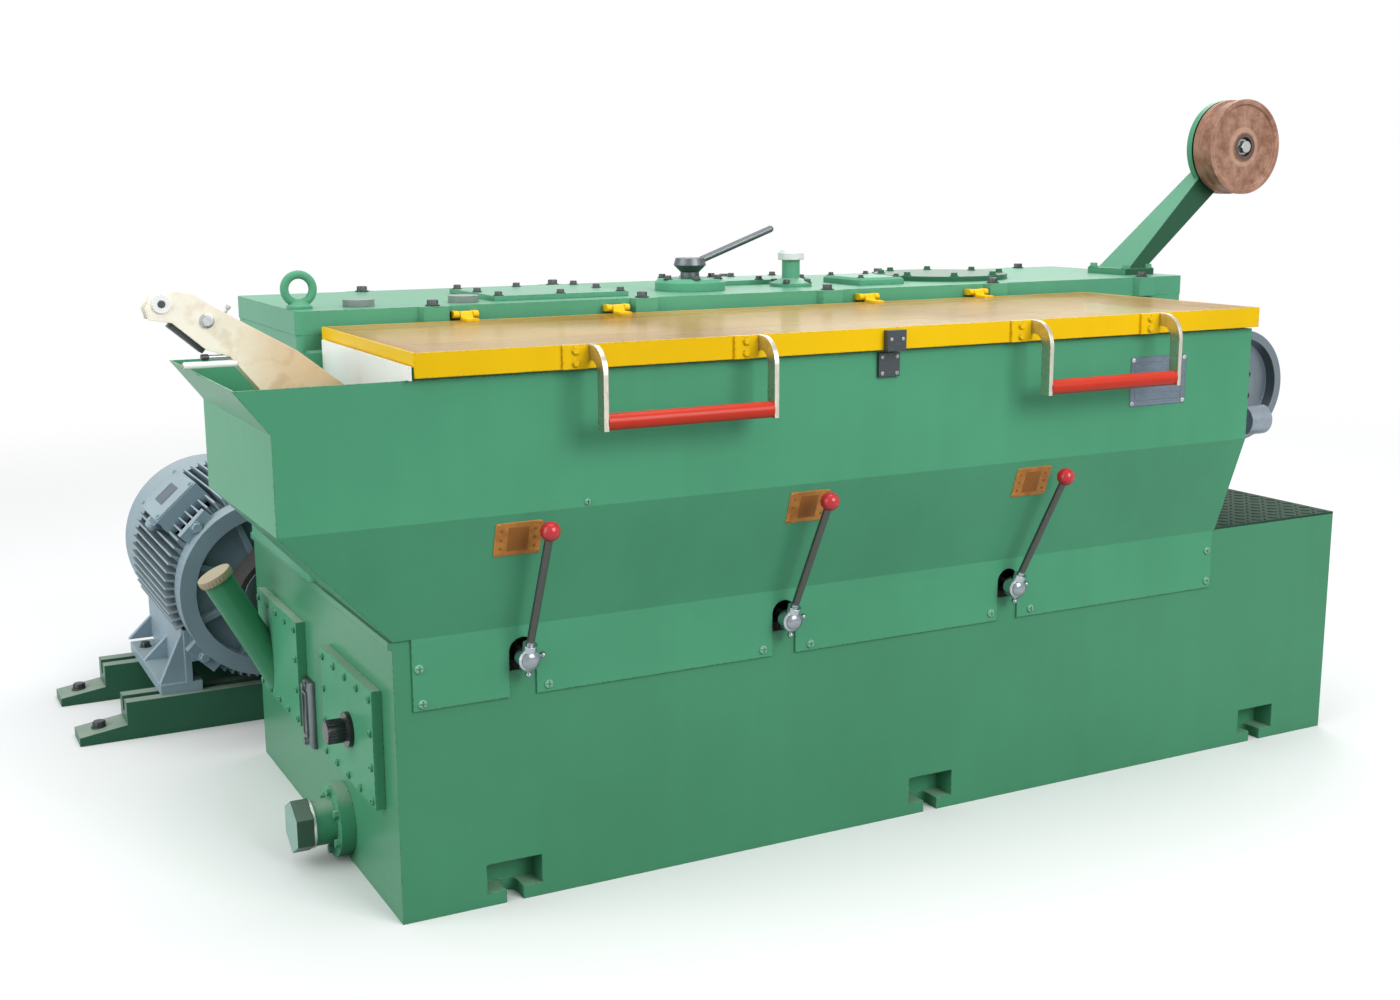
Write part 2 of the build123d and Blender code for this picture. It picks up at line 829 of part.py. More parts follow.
def die_posts():
    """Die posts on the tank floor, one between each pair of cones."""
    back = tank_depth - sheet - capstan_stand_off
    half = die_post_thickness / 2
    posts = Part()
    for left, right in zip(capstan_places(), capstan_places()[1:]):
        x = (left + right) / 2
        post = block(x - half, x + half, back - die_post_depth, back, bed_height, bed_height + die_post_height)
        for i in range(3):
            y = back - die_post_depth * (0.2 + 0.3 * i)
            post -= bar_x(y, capstan_z, x - half, x + half, die_hole)
        posts += post
    return posts


def guide_outline():
    """Side view of a wire guide cheek, from its foot on the partition to its raised nose."""
    foot = partition_x - guide_foot_thickness
    edge = guide_upper_edge + guide_lower_edge
    return [(foot, tank_top + guide_foot_low), (foot, tank_top + guide_foot_high)] + [
        (x, tank_top + rise) for x, rise in edge]


def wire_guide():
    """Two cheek plates with a foot bolted to the partition."""
    rear = guide_y + guide_spacing
    foot = partition_x - guide_foot_thickness
    body = slab_xz(guide_outline(), guide_y, guide_y + guide_thickness)
    body += slab_xz(guide_outline(), rear, rear + guide_thickness)
    body += block(foot, partition_x, guide_y - guide_foot_margin, rear + guide_thickness + guide_foot_margin,
                  tank_top + guide_foot_low, tank_top + guide_foot_high)
    return body


def guide_rollers():
    """Flanged rollers on pins between the guide cheeks."""
    gap = guide_spacing - guide_thickness
    start = guide_y + guide_thickness
    flange = guide_roller_flange / 2
    groove = guide_roller_diameter / 2
    rim = gap / 4
    profile = [(0, start), (flange, start), (flange, start + rim), (groove, start + rim * 1.6),
               (groove, start + gap - rim * 1.6), (flange, start + gap - rim), (flange, start + gap),
               (0, start + gap)]
    rollers = Part()
    for x, rise in guide_roller_places:
        rollers += turned_y(profile, x, tank_top + rise)
    return rollers


def exit_capstan():
    """Grooved exit wheel with a dished face, on its shaft in the gearbox nose."""
    radius = exit_diameter / 2
    back = exit_face + exit_width
    rim = exit_width / 5
    dish = radius - exit_groove - 18
    hub = exit_hub_diameter / 2
    shaft = exit_shaft_diameter / 2
    shaft_end = gear_front - seat_gap
    profile = [(0, exit_face + 8), (hub, exit_face + 8), (hub, exit_face + 26), (dish, exit_face + 26),
               (dish + 8, exit_face), (radius, exit_face), (radius, exit_face + rim),
               (radius - exit_groove, exit_face + 2 * rim), (radius - exit_groove, back - 2 * rim),
               (radius, back - rim), (radius, back), (hub, back), (shaft, back + 20), (shaft, shaft_end),
               (0, shaft_end)]
    return turned_y(profile, exit_x, exit_z)


def exit_die_holder():
    """Bracket on the tank's right end that holds the last die."""
    z = bed_height + exit_die_rise
    wall = tank_length
    body = block(wall, wall + 8, exit_die_y - 60, exit_die_y + 60, z - 65, z + 65)
    body += slab_xz([(wall + 8, z - 55), (wall + exit_die_reach, z - 20), (wall + exit_die_reach, z + 50),
                     (wall + 8, z + 55)], exit_die_y - exit_die_plate / 2, exit_die_y + exit_die_plate / 2)
    cup = bar_x(exit_die_y, z + 15, wall + exit_die_reach - 70, wall + exit_die_reach, 78)
    body += cup
    return body - bar_x(exit_die_y, z + 15, wall + exit_die_reach - 70, wall + exit_die_reach, 24)


def guide_arm():
    """Tapered arm from the gearbox top to the pulley's back disc and axle."""
    front = pulley_front + pulley_width + pulley_gap
    low = cover_top + arm_flange_thickness
    run = Vector(cos(radians(arm_angle)), 0, sin(radians(arm_angle)))
    side = Vector(-run.Z, 0, run.X) * (arm_tip_width / 2)
    tip = Vector(arm_foot_left + arm_foot_width / 2, 0, low) + run * arm_length
    outline = [(arm_foot_left, low), (arm_foot_left + arm_foot_width, low),
               ((tip - side).X, (tip - side).Z), ((tip + side).X, (tip + side).Z)]
    arm = slab_xz(outline, front, front + arm_foot_depth)
    top = (tip + side).Z
    taper = [(front, low), (front + arm_foot_depth, low), (front + arm_tip_depth, top), (front, top)]
    arm &= slab_yz(taper, arm_foot_left - arm_tip_width, pulley_x + pulley_diameter)
    margin = arm_flange_margin
    arm += block(arm_foot_left - margin, arm_foot_left + arm_foot_width + margin, front - margin / 2,
                 front + arm_foot_depth + margin, cover_top, low)
    arm += bar_y(pulley_x, pulley_z, front, front + pulley_disc_thickness, pulley_diameter)
    axle_front = pulley_front + pulley_width / 5
    return arm + bar_y(pulley_x, pulley_z, axle_front, front, pulley_axle_diameter)


def guide_pulley():
    """Wide guide pulley with a lipped rim, a shallow dished face and a recessed hub."""
    radius = pulley_diameter / 2
    back = pulley_front + pulley_width
    bore = (pulley_axle_diameter + turn_clearance) / 2
    recess = pulley_front + pulley_width / 5
    profile = [(bore, recess), (bore + 10, recess), (bore + 10, pulley_front + 2), (bore + 22, pulley_front + 2),
               (bore + 27, pulley_front + 7), (radius - 19, pulley_front + 7), (radius - 13, pulley_front), (radius, pulley_front),
               (radius, pulley_front + 14), (radius - 6, pulley_front + 22), (radius - 6, back - 22),
               (radius, back - 14), (radius, back), (bore, back)]
    return turned_y(profile, pulley_x, pulley_z)


def side_covers():
    """Two thick inspection covers on the bed's left end."""
    covers = Part()
    for y in (side_cover_inset, side_cover_rear):
        covers += block(-side_cover_thickness, 0, y, y + side_cover_length,
                        side_cover_bottom, side_cover_bottom + side_cover_height)
    return covers


def sight_gauge():
    """Upright oil sight gauge with end fittings."""
    half = gauge_width / 2
    body = block(-gauge_depth, 0, gauge_y - half, gauge_y + half, gauge_bottom, gauge_bottom + gauge_height)
    return fillet(body.faces().sort_by(Axis.X)[0].edges(), gauge_width / 5)


def drain_plug():
    """Black knob plug on the front cover."""
    x1 = -side_cover_thickness
    x2 = x1 - plug_flange_length
    return bar_x(plug_y, plug_z, x2, x1, plug_flange_diameter) + bar_x(
        plug_y, plug_z, x2 - plug_knob_length, x2, plug_knob_diameter)


def coolant_outlet():
    """Round flange with a short pipe."""
    flange = bar_x(outlet_y, outlet_z, -outlet_flange_thickness, 0, outlet_flange_diameter)
    end = -outlet_flange_thickness - outlet_pipe_length
    return flange + bar_x(outlet_y, outlet_z, end, -outlet_flange_thickness, outlet_pipe_diameter)


def coolant_cap():
    """Hexagonal screw cap on the outlet pipe."""
    start = -outlet_flange_thickness - outlet_pipe_length
    hexagon = RegularPolygon(outlet_cap_diameter / 2, 6)
    return extrude(Plane((start, outlet_y, outlet_z), z_dir=(-1, 0, 0)) * hexagon, amount=outlet_cap_length)


def filler_line():
    """Foot, top and direction of the sloping filler pipe."""
    run = Vector(-sin(radians(filler_tilt)), 0, cos(radians(filler_tilt)))
    foot = Vector(-side_cover_thickness, filler_y, filler_z)
    return foot, foot + run * filler_length, run


def filler_pipe():
    """Sloping filler pipe cut flush with the rear cover."""
    foot, top, run = filler_line()
    pipe = bar_between(tuple(foot - run * filler_diameter * 2), tuple(top), filler_diameter)
    reach = filler_diameter * 3
    return pipe - block(-side_cover_thickness, reach, filler_y - reach, filler_y + reach, 0, bed_height)


def filler_cap():
    """Round cap on the filler pipe."""
    foot, top, run = filler_line()
    return bar_between(tuple(top), tuple(top + run * filler_cap_length), filler_cap_diameter)


def motor_rails():
    """Two slotted rails with low toes at both ends."""
    left = motor_x - rail_reach
    right = motor_x + rail_reach
    outline = [(left, 0), (right, 0), (right, rail_toe), (right - rail_tip_length, rail_tip_height),
               (right - rail_tip_length, rail_height), (left + rail_tip_length, rail_height),
               (left + rail_tip_length, rail_tip_height), (left, rail_toe)]
    rails = Part()
    for i in range(2):
        front = rail_front + rail_spacing * i
        middle = front + rail_width / 2
        rail = slab_xz(outline, front, front + rail_width)
        rails += rail - block(left, right, middle - rail_slot / 2, middle + rail_slot / 2,
                              rail_height - rail_slot_depth, rail_height)
    return rails


def motor_end_shield():
    """Front end shield: rim, ribbed web, bearing hub and corner lugs."""
    y0 = motor_front
    y1 = motor_front + shield_depth
    rim = shield_rim_diameter / 2
    hub = shield_hub_diameter / 2
    bore = motor_shaft_diameter / 2
    web = y1 - shield_web
    body = turned_y([(bore, y0 + 6), (hub - 10, y0 + 6), (hub, y0 + 16), (hub, web),
                     (rim - shield_rim_width, web), (rim - shield_rim_width, y0), (rim, y0), (rim, y1),
                     (bore, y1)], motor_x, motor_z)
    ring = (rim - shield_rim_width + hub) / 2
    length = rim - shield_rim_width - hub + 2
    for i in range(shield_rib_count):
        rib = Pos(ring, 0, 0) * Box(length, web - y0 - 24, shield_rib)
        spoke = Rot(0, 360 / shield_rib_count * (i + 0.5), 0) * rib
        body += Pos(motor_x, (web + y0 + 24) / 2, motor_z) * spoke
    for angle in (45, 135, 225, 315):
        lug = Pos(rim, 0, 0) * Box(shield_lug * 0.6, shield_web * 1.6, shield_lug)
        body += Pos(motor_x, y1 - shield_web * 0.8, motor_z) * Rot(0, angle, 0) * lug
    return body


def motor_frame():
    """Finned stator frame with flat pads for its feet."""
    y0 = motor_front + shield_depth
    y1 = y0 + frame_length
    radius = frame_diameter / 2
    section = Circle(radius)
    reach = radius + fin_height
    for i in range(fin_count):
        section += Rot(0, 0, 360 / fin_count * (i + 0.5)) * Pos(reach / 2, 0) * Rectangle(reach, fin_thickness)
    body = Pos(motor_x, y1, motor_z) * Rot(90, 0, 0) * extrude(section, amount=frame_length)
    pad = block(foot_pad_inner, foot_pad_half, y0, y1, motor_z - foot_pad_low, motor_z - foot_pad_high)
    body += Pos(motor_x, 0, 0) * pad
    body += Pos(motor_x, 0, 0) * mirror(pad, about=Plane.YZ)
    room = block(foot_pad_half, reach, y0, y1, rail_height, motor_z - foot_pad_high)
    body -= Pos(motor_x, 0, 0) * room
    body -= Pos(motor_x, 0, 0) * mirror(room, about=Plane.YZ)
    return body - terminal_outline()


def motor_feet():
    """Two long feet with webs and ribs, bolted up to the frame's foot pads."""
    y0 = motor_front + shield_depth
    y1 = y0 + frame_length
    foot_y1 = rail_front + rail_spacing + rail_width + foot_overlap
    foot_top = rail_height + foot_thickness
    outer = foot_spread / 2
    web = foot_pad_half + foot_web
    top = motor_z - foot_pad_high
    foot = block(outer - foot_width, outer, y0, foot_y1, rail_height, foot_top)
    foot += block(foot_pad_half, web, y0, y1, foot_top, top)
    low = foot_top + (top - foot_top) * 0.45
    for y, rise in ((y0 + foot_rib, top), ((y0 + y1) / 2, low), (y1 - foot_rib, low)):
        foot += slab_xz([(web, foot_top), (outer, foot_top), (web, rise)], y - foot_rib / 2, y + foot_rib / 2)
    feet = Part() + Pos(motor_x, 0, 0) * foot
    return feet + Pos(motor_x, 0, 0) * mirror(foot, about=Plane.YZ)


def terminal_outline():
    """Flat-bottomed box that sits across the fins on the frame's upper left."""
    low = frame_diameter / 2 + fin_height * 0.3
    y = motor_front + shield_depth + frame_length * 0.45
    box = Pos(low + terminal_height / 2, 0, 0) * Box(terminal_height, terminal_length, terminal_width)
    return Pos(motor_x, y, motor_z) * Rot(0, -terminal_angle, 0) * box


def motor_terminal_box():
    """Terminal box on the frame's upper left."""
    return terminal_outline()


def motor_fan_cowl():
    """Round fan cowl behind the frame."""
    y0 = motor_front + shield_depth + frame_length
    y1 = y0 + cowl_length
    radius = cowl_diameter / 2
    return turned_y([(0, y0), (radius, y0), (radius, y1 - cowl_corner), (radius - cowl_corner * 0.3, y1 - cowl_corner * 0.3),
                     (radius - cowl_corner, y1), (0, y1)], motor_x, motor_z)


def sheave_profile(diameter, bore):
    """Half section of a grooved sheave from its front face to its back face."""
    radius = diameter / 2
    land = (sheave_face - groove_count * groove_top) / (groove_count + 1)
    points = [(bore, sheave_front), (radius, sheave_front)]
    for i in range(groove_count):
        y = sheave_front + land + (groove_top + land) * i
        slope = (groove_top - groove_floor) / 2
        points += [(radius, y), (radius - groove_depth, y + slope),
                   (radius - groove_depth, y + groove_top - slope), (radius, y + groove_top)]
    return points + [(radius, sheave_back), (bore, sheave_back)]


def motor_sheave():
    """Grooved sheave on the motor shaft."""
    body = turned_y(sheave_profile(motor_sheave_diameter, 0), motor_x, motor_z)
    end = motor_front + shield_depth
    return body + bar_y(motor_x, motor_z, sheave_back, end, motor_shaft_diameter)


def driven_sheave():
    """Large grooved sheave with a dished web on the gearbox input shaft."""
    body = turned_y(sheave_profile(driven_sheave_diameter, 0), driven_x, driven_z)
    rim = driven_sheave_diameter / 2 - groove_depth - 16
    hub = sheave_hub_diameter / 2
    dish = sheave_face * 0.35
    body -= turned_y([(hub, sheave_back - dish), (rim, sheave_back - dish), (rim, sheave_back), (hub, sheave_back)],
                     driven_x, driven_z)
    return body + bar_y(driven_x, driven_z, gear_back, sheave_front, driven_shaft_diameter)


def belt_loop(grow):
    """Flat face of the tight loop round both sheaves, grown by a margin."""
    edges = []
    for x, z, diameter in ((motor_x, motor_z, motor_sheave_diameter), (driven_x, driven_z, driven_sheave_diameter)):
        edges += (Pos(x, z) * Circle(diameter / 2 + grow)).edges()
    return make_hull(edges)


def drive_belt():
    """Belt set as one closed loop."""
    loop = belt_loop(belt_clearance + belt_thickness) - belt_loop(belt_clearance)
    edge = groove_floor
    return Pos(0, sheave_back - edge, 0) * Rot(90, 0, 0) * extrude(loop, amount=sheave_face - 2 * edge)


pieces = {
    "bed": bed(),
    "tread_plate": tread_plate(),
    "tank_front": tank_front(),
    "tank_left_end": tank_left_end(),
    "tank_right_end": tank_right_end(),
    "tank_back": tank_back(),
    "tank_partition": tank_partition(),
    "gearbox_case": gearbox_case(),
    "gearbox_cover": gearbox_cover(),
    "inspection_covers": inspection_covers(),
    "oil_caps": oil_caps(),
    "eye_bolt": eye_bolt(),
    "shift_boss": shift_boss(),
    "shift_handle": shift_handle(),
    "breather": breather(),
    "lid_frame": lid_frame(),
    "lid_window": lid_window(),
    "lid_hinges": lid_hinges(),
    "handle_legs": handle_legs(),
    "handle_grips": handle_grips(),
    "latch_block": latch_block(),
    "latch_plate": latch_plate(),
    "draw_capstans": draw_capstans(),
    "die_posts": die_posts(),
    "wire_guide": wire_guide(),
    "guide_rollers": guide_rollers(),
    "exit_capstan": exit_capstan(),
    "exit_die_holder": exit_die_holder(),
    "guide_arm": guide_arm(),
    "guide_pulley": guide_pulley(),
    "side_covers": side_covers(),
    "sight_gauge": sight_gauge(),
    "drain_plug": drain_plug(),
    "coolant_outlet": coolant_outlet(),
    "coolant_cap": coolant_cap(),
    "filler_pipe": filler_pipe(),
    "filler_cap": filler_cap(),
    "motor_rails": motor_rails(),
    "motor_end_shield": motor_end_shield(),
    "motor_frame": motor_frame(),
    "motor_feet": motor_feet(),
    "motor_terminal_box": motor_terminal_box(),
    "motor_fan_cowl": motor_fan_cowl(),
    "motor_sheave": motor_sheave(),
    "driven_sheave": driven_sheave(),
    "drive_belt": drive_belt(),
}
for number in range(len(lever_leans)):
    pieces[f"lever_arm_{number + 1}"] = lever_arm(number)
    pieces[f"lever_knob_{number + 1}"] = lever_knob(number)

os.makedirs("parts", exist_ok=True)
to_origin = Pos(-bed_length / 2, -bed_depth / 2, 0)
for name, solid in pieces.items():
    export_step(to_origin * solid, f"parts/{name}.step")
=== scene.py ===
from math import cos, pi, radians, sin, sqrt

import bpy
import numpy as np
from mathutils import Matrix, Vector


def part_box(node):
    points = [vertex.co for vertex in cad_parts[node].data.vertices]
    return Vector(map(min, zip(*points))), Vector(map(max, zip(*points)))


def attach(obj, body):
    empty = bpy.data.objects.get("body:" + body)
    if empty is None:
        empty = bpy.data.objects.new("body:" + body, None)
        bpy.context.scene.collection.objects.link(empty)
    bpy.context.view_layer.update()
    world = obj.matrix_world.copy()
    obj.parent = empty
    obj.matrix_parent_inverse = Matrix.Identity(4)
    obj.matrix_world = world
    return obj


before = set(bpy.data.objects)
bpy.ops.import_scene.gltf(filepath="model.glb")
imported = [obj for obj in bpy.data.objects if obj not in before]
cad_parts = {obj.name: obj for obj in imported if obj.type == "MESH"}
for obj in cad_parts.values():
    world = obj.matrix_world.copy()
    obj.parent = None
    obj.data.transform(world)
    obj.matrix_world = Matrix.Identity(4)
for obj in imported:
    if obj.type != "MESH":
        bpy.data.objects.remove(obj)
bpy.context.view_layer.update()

# Looks of the wire drawing machine. Metres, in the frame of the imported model. Places on the machine
# are given in millimetres of its bed: x from the left end, y from the front face, z from the floor.

MM = 0.001
BED_LEFT = -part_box("bed")[1].x
BED_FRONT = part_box("bed")[0].y

# Camera, as the photograph was taken: place, turn to the right, tilt down, roll, and lens for its frame
CAMERA_PLACE = (-2.23567, -3.65511, 1.49874)
CAMERA_TURN = radians(27.766)
CAMERA_TILT = radians(11.073)
CAMERA_ROLL = radians(-0.2385)
CAMERA_LENS = 42.375
FRAME_WIDTH = 36.0

# Faces and centres that several pieces share, in bed millimetres
SHEET = 5
TANK_FRONT = -92
LID_FRONT = -109
LEVER_FIRST = 274
LEVER_PITCH = 624
LEVER_Z = 535
LEVER_FACE = -48
LEVER_MIDDLE = -31
COVER_TOP = 1213
BREATHER_CAP = 1282
ROUND_COVER_LEFT = 1700
SIDE_COVER_FACE = -22
PULLEY = (2823, 599, 1581)
EXIT_CAPSTAN = (2513, 258, 927)
MOTOR_X = 88
MOTOR_Z = 390

# Directions that added pieces face; the slope is the tank's, over the levers
FRONT = (0, -1, 0)
BACK = (0, 1, 0)
LEFT = (-1, 0, 0)
UP = (0, 0, 1)
SLOPE = (0, -0.945, -0.326)

# Softened edge of painted castings and sheet, and how far wear reaches in from an edge, in metres
EDGE_RADIUS = 0.0025
WEAR_RADIUS = 0.007


def spot(x, y, z):
    """Bed millimetres as a point of the frame."""
    return np.array([BED_LEFT + x * MM, BED_FRONT + y * MM, z * MM])


def srgb(code):
    """Colour written as six hex digits, as the linear values that shaders take."""
    parts = [int(code[i:i + 2], 16) / 255 for i in (0, 2, 4)]
    return tuple(c / 12.92 if c < 0.04045 else ((c + 0.055) / 1.055) ** 2.4 for c in parts) + (1.0,)


# Surfaces


def grid(rows, columns, loop):
    """Quads between the rings of a stack; every ring is closed, and so is the stack where it loops."""
    row = np.arange(rows if loop else rows - 1)[:, None]
    column = np.arange(columns)[None, :]
    above = (row + 1) % rows
    after = (column + 1) % columns
    near = [row * columns + column, row * columns + after]
    far = [above * columns + after, above * columns + column]
    return np.stack(near + far, -1).reshape(-1, 4)


def skin(rings, loop=False):
    """Surface over a stack of rings: quads between neighbours, and a fan from its middle fills each end."""
    rows, columns = rings.shape[:2]
    points = rings.reshape(-1, 3)
    faces = [grid(rows, columns, loop)]
    if not loop:
        column = np.arange(columns)
        after = (column + 1) % columns
        last = (rows - 1) * columns
        points = np.concatenate([points, rings[:1].mean(1), rings[-1:].mean(1)])
        faces.append(np.stack([np.full(columns, rows * columns), after, column], -1))
        faces.append(np.stack([last + column, last + after, np.full(columns, rows * columns + 1)], -1))
    return points, faces


def lathe(profile, sides=36, corners=0, loop=False):
    """Turned surface: (r, h) goes to (r k cos a, r k sin a, h) as a runs round. A third value in a profile
    row is how far k turns the circle into a polygon with the given corners, from 0 to 1."""
    rows = np.array([tuple(row) + (0,) * (3 - len(row)) for row in profile], float)
    a = np.linspace(0, 2 * pi, sides, endpoint=False)
    k = np.ones((len(rows), sides))
    if corners:
        sector = 2 * pi / corners
        flat = np.cos(sector / 2) / np.cos(a % sector - sector / 2)
        k += rows[:, 2:] * (flat - 1)
    r = rows[:, :1] * k
    height = np.broadcast_to(rows[:, 1:2], r.shape)
    return skin(np.stack([r * np.cos(a), r * np.sin(a), height], -1), loop)


def rounded(width, height, corner, steps=5):
    """Points round a rectangle: each corner's centre plus its quarter circle."""
    a = np.linspace(0, pi / 2, steps + 1)[None, :] + np.arange(4)[:, None] * pi / 2
    centre = np.array([(1, 1), (-1, 1), (-1, -1), (1, -1)]) * (width / 2 - corner, height / 2 - corner)
    return (centre[:, None] + corner * np.stack([np.cos(a), np.sin(a)], -1)).reshape(-1, 2)


def plate(width, height, thickness, corner=2.0, bevel=0.6):
    """Flat plate: a rounded rectangle at the back, at the bevel's foot, and drawn in at the front face."""
    outer = rounded(width, height, corner)
    inner = rounded(width - 2 * bevel, height - 2 * bevel, corner - bevel)
    levels = ((outer, 0), (outer, thickness - bevel), (inner, thickness))
    rings = [np.column_stack([outline, np.full(len(outline), z)]) for outline, z in levels]
    return skin(np.stack(rings))


def facing(axis):
    """Rotation that takes a shape's own Z to an axis and keeps its X level."""
    w = np.array(axis, float) / np.linalg.norm(axis)
    u = np.cross((0, 0, 1) if abs(w[2]) < 0.9 else (0, 1, 0), w)
    u /= np.linalg.norm(u)
    return np.stack([u, np.cross(w, u), w])


def scatter(shape, places, axis):
    """Copies of a shape in millimetres, its Z turned to the axis, one at each place on the bed."""
    points, faces = shape
    turned = points @ facing(axis) * MM
    seats = np.array([spot(*place) for place in places])
    many = (seats[:, None] + turned[None]).reshape(-1, 3)
    steps = np.arange(len(seats))[:, None, None] * len(points)
    return many, [(steps + ring[None]).reshape(-1, ring.shape[1]) for ring in faces]


def spun(shape, degrees):
    """Shape turned about its own Z: x cos t - y sin t, x sin t + y cos t."""
    points, faces = shape
    c, s = cos(radians(degrees)), sin(radians(degrees))
    return points @ np.array([(c, s, 0), (-s, c, 0), (0, 0, 1)]), faces


def round_places(centre, radius, count, axis, start=0.0):
    """Places evenly round a centre, across an axis."""
    u, v, _ = facing(axis)
    a = radians(start) + np.arange(count)[:, None] * 2 * pi / count
    return np.array(centre) + radius * (np.cos(a) * u + np.sin(a) * v)


def border(first, second):
    """Pairs of values round the border of a grid."""
    ends = (first[0], first[-1])
    sides = (second[0], second[-1])
    return [(a, b) for a in first for b in second if a in ends or b in sides]


def joined(*shapes):
    """Several shapes as one."""
    sizes = np.cumsum([0] + [len(points) for points, _ in shapes])
    faces = [ring + start for (_, rings), start in zip(shapes, sizes) for ring in rings]
    return np.concatenate([points for points, _ in shapes]), faces


def piece(name, shape, finish, body="machine", crease=35):
    """Mesh object of a shape, smooth up to the crease angle, that rides on a body."""
    points, faces = shape
    mesh = bpy.data.meshes.new(name)
    mesh.from_pydata(points.tolist(), [], [corner for ring in faces for corner in ring.tolist()])
    mesh.polygons.foreach_set("use_smooth", np.ones(len(mesh.polygons), bool))
    mesh.set_sharp_from_angle(angle=radians(crease))
    mesh.materials.append(finish)
    made = bpy.data.objects.new(name, mesh)
    bpy.context.scene.collection.objects.link(made)
    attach(made, body)


def hex_bolt(across, height, washer=0.0):
    """Hexagon head: a polygon up to its chamfer, a circle on top, over a round washer where it has one."""
    r = across / sqrt(3)
    head = [(r, washer, 1), (r, washer + height * 0.82, 1), (r * 0.86, washer + height, 0)]
    rim = [(across * 0.72, 0), (across * 0.72, washer * 0.8), (across * 0.69, washer)]
    return lathe((rim if washer else []) + head, 24, 6)


def cap_screw(diameter, height):
    """Cylinder head with a six-sided socket: up the side, in over the rim, and down into the socket."""
    r = diameter / 2
    head = [(r, 0), (r, height - 0.8), (r - 0.8, height)]
    socket = [(r * 0.56, height, 1), (r * 0.52, height * 0.4, 1)]
    return lathe(head + socket, 24, 6)


def pan_screw(diameter, height):
    """Domed head: its height goes with the root of one less the squared radius; a cross is sunk in it."""
    share = np.array([1, 1, 0.93, 0.8, 0.62, 0.42, 0.2])
    rise = np.concatenate([[0], 0.3 + 0.7 * np.sqrt(1 - share[1:] ** 2)])
    points, faces = lathe(np.column_stack([share * diameter / 2, rise * height]), 32)
    flat = np.abs(points[:, :2])
    cross = (flat.min(1) < diameter * 0.07) & (flat.max(1) < diameter * 0.33) & (points[:, 2] > 0)
    points[:, 2] -= cross * height * 0.45
    return points, faces


def rod(diameter, length, chamfer=1.0):
    """Round bar with a broken edge at its end."""
    r = diameter / 2
    return lathe([(r, 0), (r, length - chamfer), (r - chamfer, length)], 24)


def ball(diameter, centre):
    """Ball on the Z axis: r = R cos t and h = R sin t, from pole to pole."""
    t = np.linspace(-0.48 * pi, 0.48 * pi, 13)
    return lathe(np.column_stack([diameter / 2 * np.cos(t), centre + diameter / 2 * np.sin(t)]), 24)


def hoop(radius, wire, height=0.0, sides=64):
    """Ring of round wire lying flat: r = R + w cos t and h = w sin t."""
    t = np.linspace(-pi / 2, 1.5 * pi, 10, endpoint=False)
    return lathe(np.column_stack([radius + wire * np.cos(t), height + wire * np.sin(t)]), sides, loop=True)


def band(inner, outer, low, high, chamfer=0.5):
    """Flat ring with a square section, its outer top edge broken."""
    section = [(inner, low), (outer, low), (outer, high - chamfer), (outer - chamfer, high), (inner, high)]
    return lathe(section, 64, loop=True)


def fluted(diameter, length, lobes, depth):
    """Grip sleeve: the radius rises and falls as the cosine of the angle times the number of lobes."""
    a = np.linspace(0, 2 * pi, lobes * 8, endpoint=False)
    r = diameter / 2 + depth / 2 * (np.cos(a * lobes) - 1)
    outline = np.column_stack([r * np.cos(a), r * np.sin(a)])
    levels = ((0.93, 0), (1, 0.06), (1, 0.94), (0.93, 1))
    rings = [np.column_stack([outline * k, np.full(len(a), h * length)]) for k, h in levels]
    return skin(np.stack(rings))


def frame_line(width, height, line, thickness, corner=3.0):
    """Raised border: up the outside of a rounded rectangle, in over its top, and down inside."""
    outer = rounded(width, height, corner)
    inner = rounded(width - 2 * line, height - 2 * line, max(corner - line, 0.3))
    levels = ((outer, 0), (outer, thickness), (inner, thickness), (inner, 0))
    rings = [np.column_stack([outline, np.full(len(outline), z)]) for outline, z in levels]
    return skin(np.stack(rings), loop=True)


def lozenge(length, width, height, sides=12):
    """Raised tread: an ellipse that draws in towards a rounded top, half as much along its length."""
    a = np.linspace(0, 2 * pi, sides, endpoint=False)
    levels = ((1.0, 0.0), (0.82, 0.75), (0.5, 1.0))
    rings = [np.column_stack([length / 2 * (1 + k) / 2 * np.cos(a), width / 2 * k * np.sin(a),
                              np.full(sides, h * height)]) for k, h in levels]
    return skin(np.stack(rings))


# Finishes


class Tone:
    """A socket of a material's nodes. Arithmetic with it adds Math nodes; node() adds any other kind."""

    def __init__(self, tree, socket=None):
        self.tree = tree
        self.socket = socket

    def node(self, kind, settings=(), sockets=(), out=0):
        """New node: its settings first, then the values or links of its sockets. Gives one output."""
        made = self.tree.nodes.new("ShaderNode" + kind)
        for key, value in dict(settings).items():
            setattr(made, key, value)
        for key, value in dict(sockets).items():
            if isinstance(value, Tone):
                self.tree.links.new(value.socket, made.inputs[key])
            else:
                made.inputs[key].default_value = value
        return Tone(self.tree, made.outputs[out] if len(made.outputs) else None)

    def math(self, operation, first, second=0.0):
        """Math node on one or two values."""
        return self.node("Math", {"operation": operation}, {0: first, 1: second})

    def __add__(self, other):
        return self.math("ADD", self, other)

    def __sub__(self, other):
        return self.math("SUBTRACT", self, other)

    def __rsub__(self, other):
        return self.math("SUBTRACT", other, self)

    def __mul__(self, other):
        return self.math("MULTIPLY", self, other)

    def __gt__(self, other):
        return self.math("GREATER_THAN", self, other)

    def __lt__(self, other):
        return self.math("LESS_THAN", self, other)

    def __abs__(self):
        return self.math("ABSOLUTE", self)

    __radd__ = __add__
    __rmul__ = __mul__


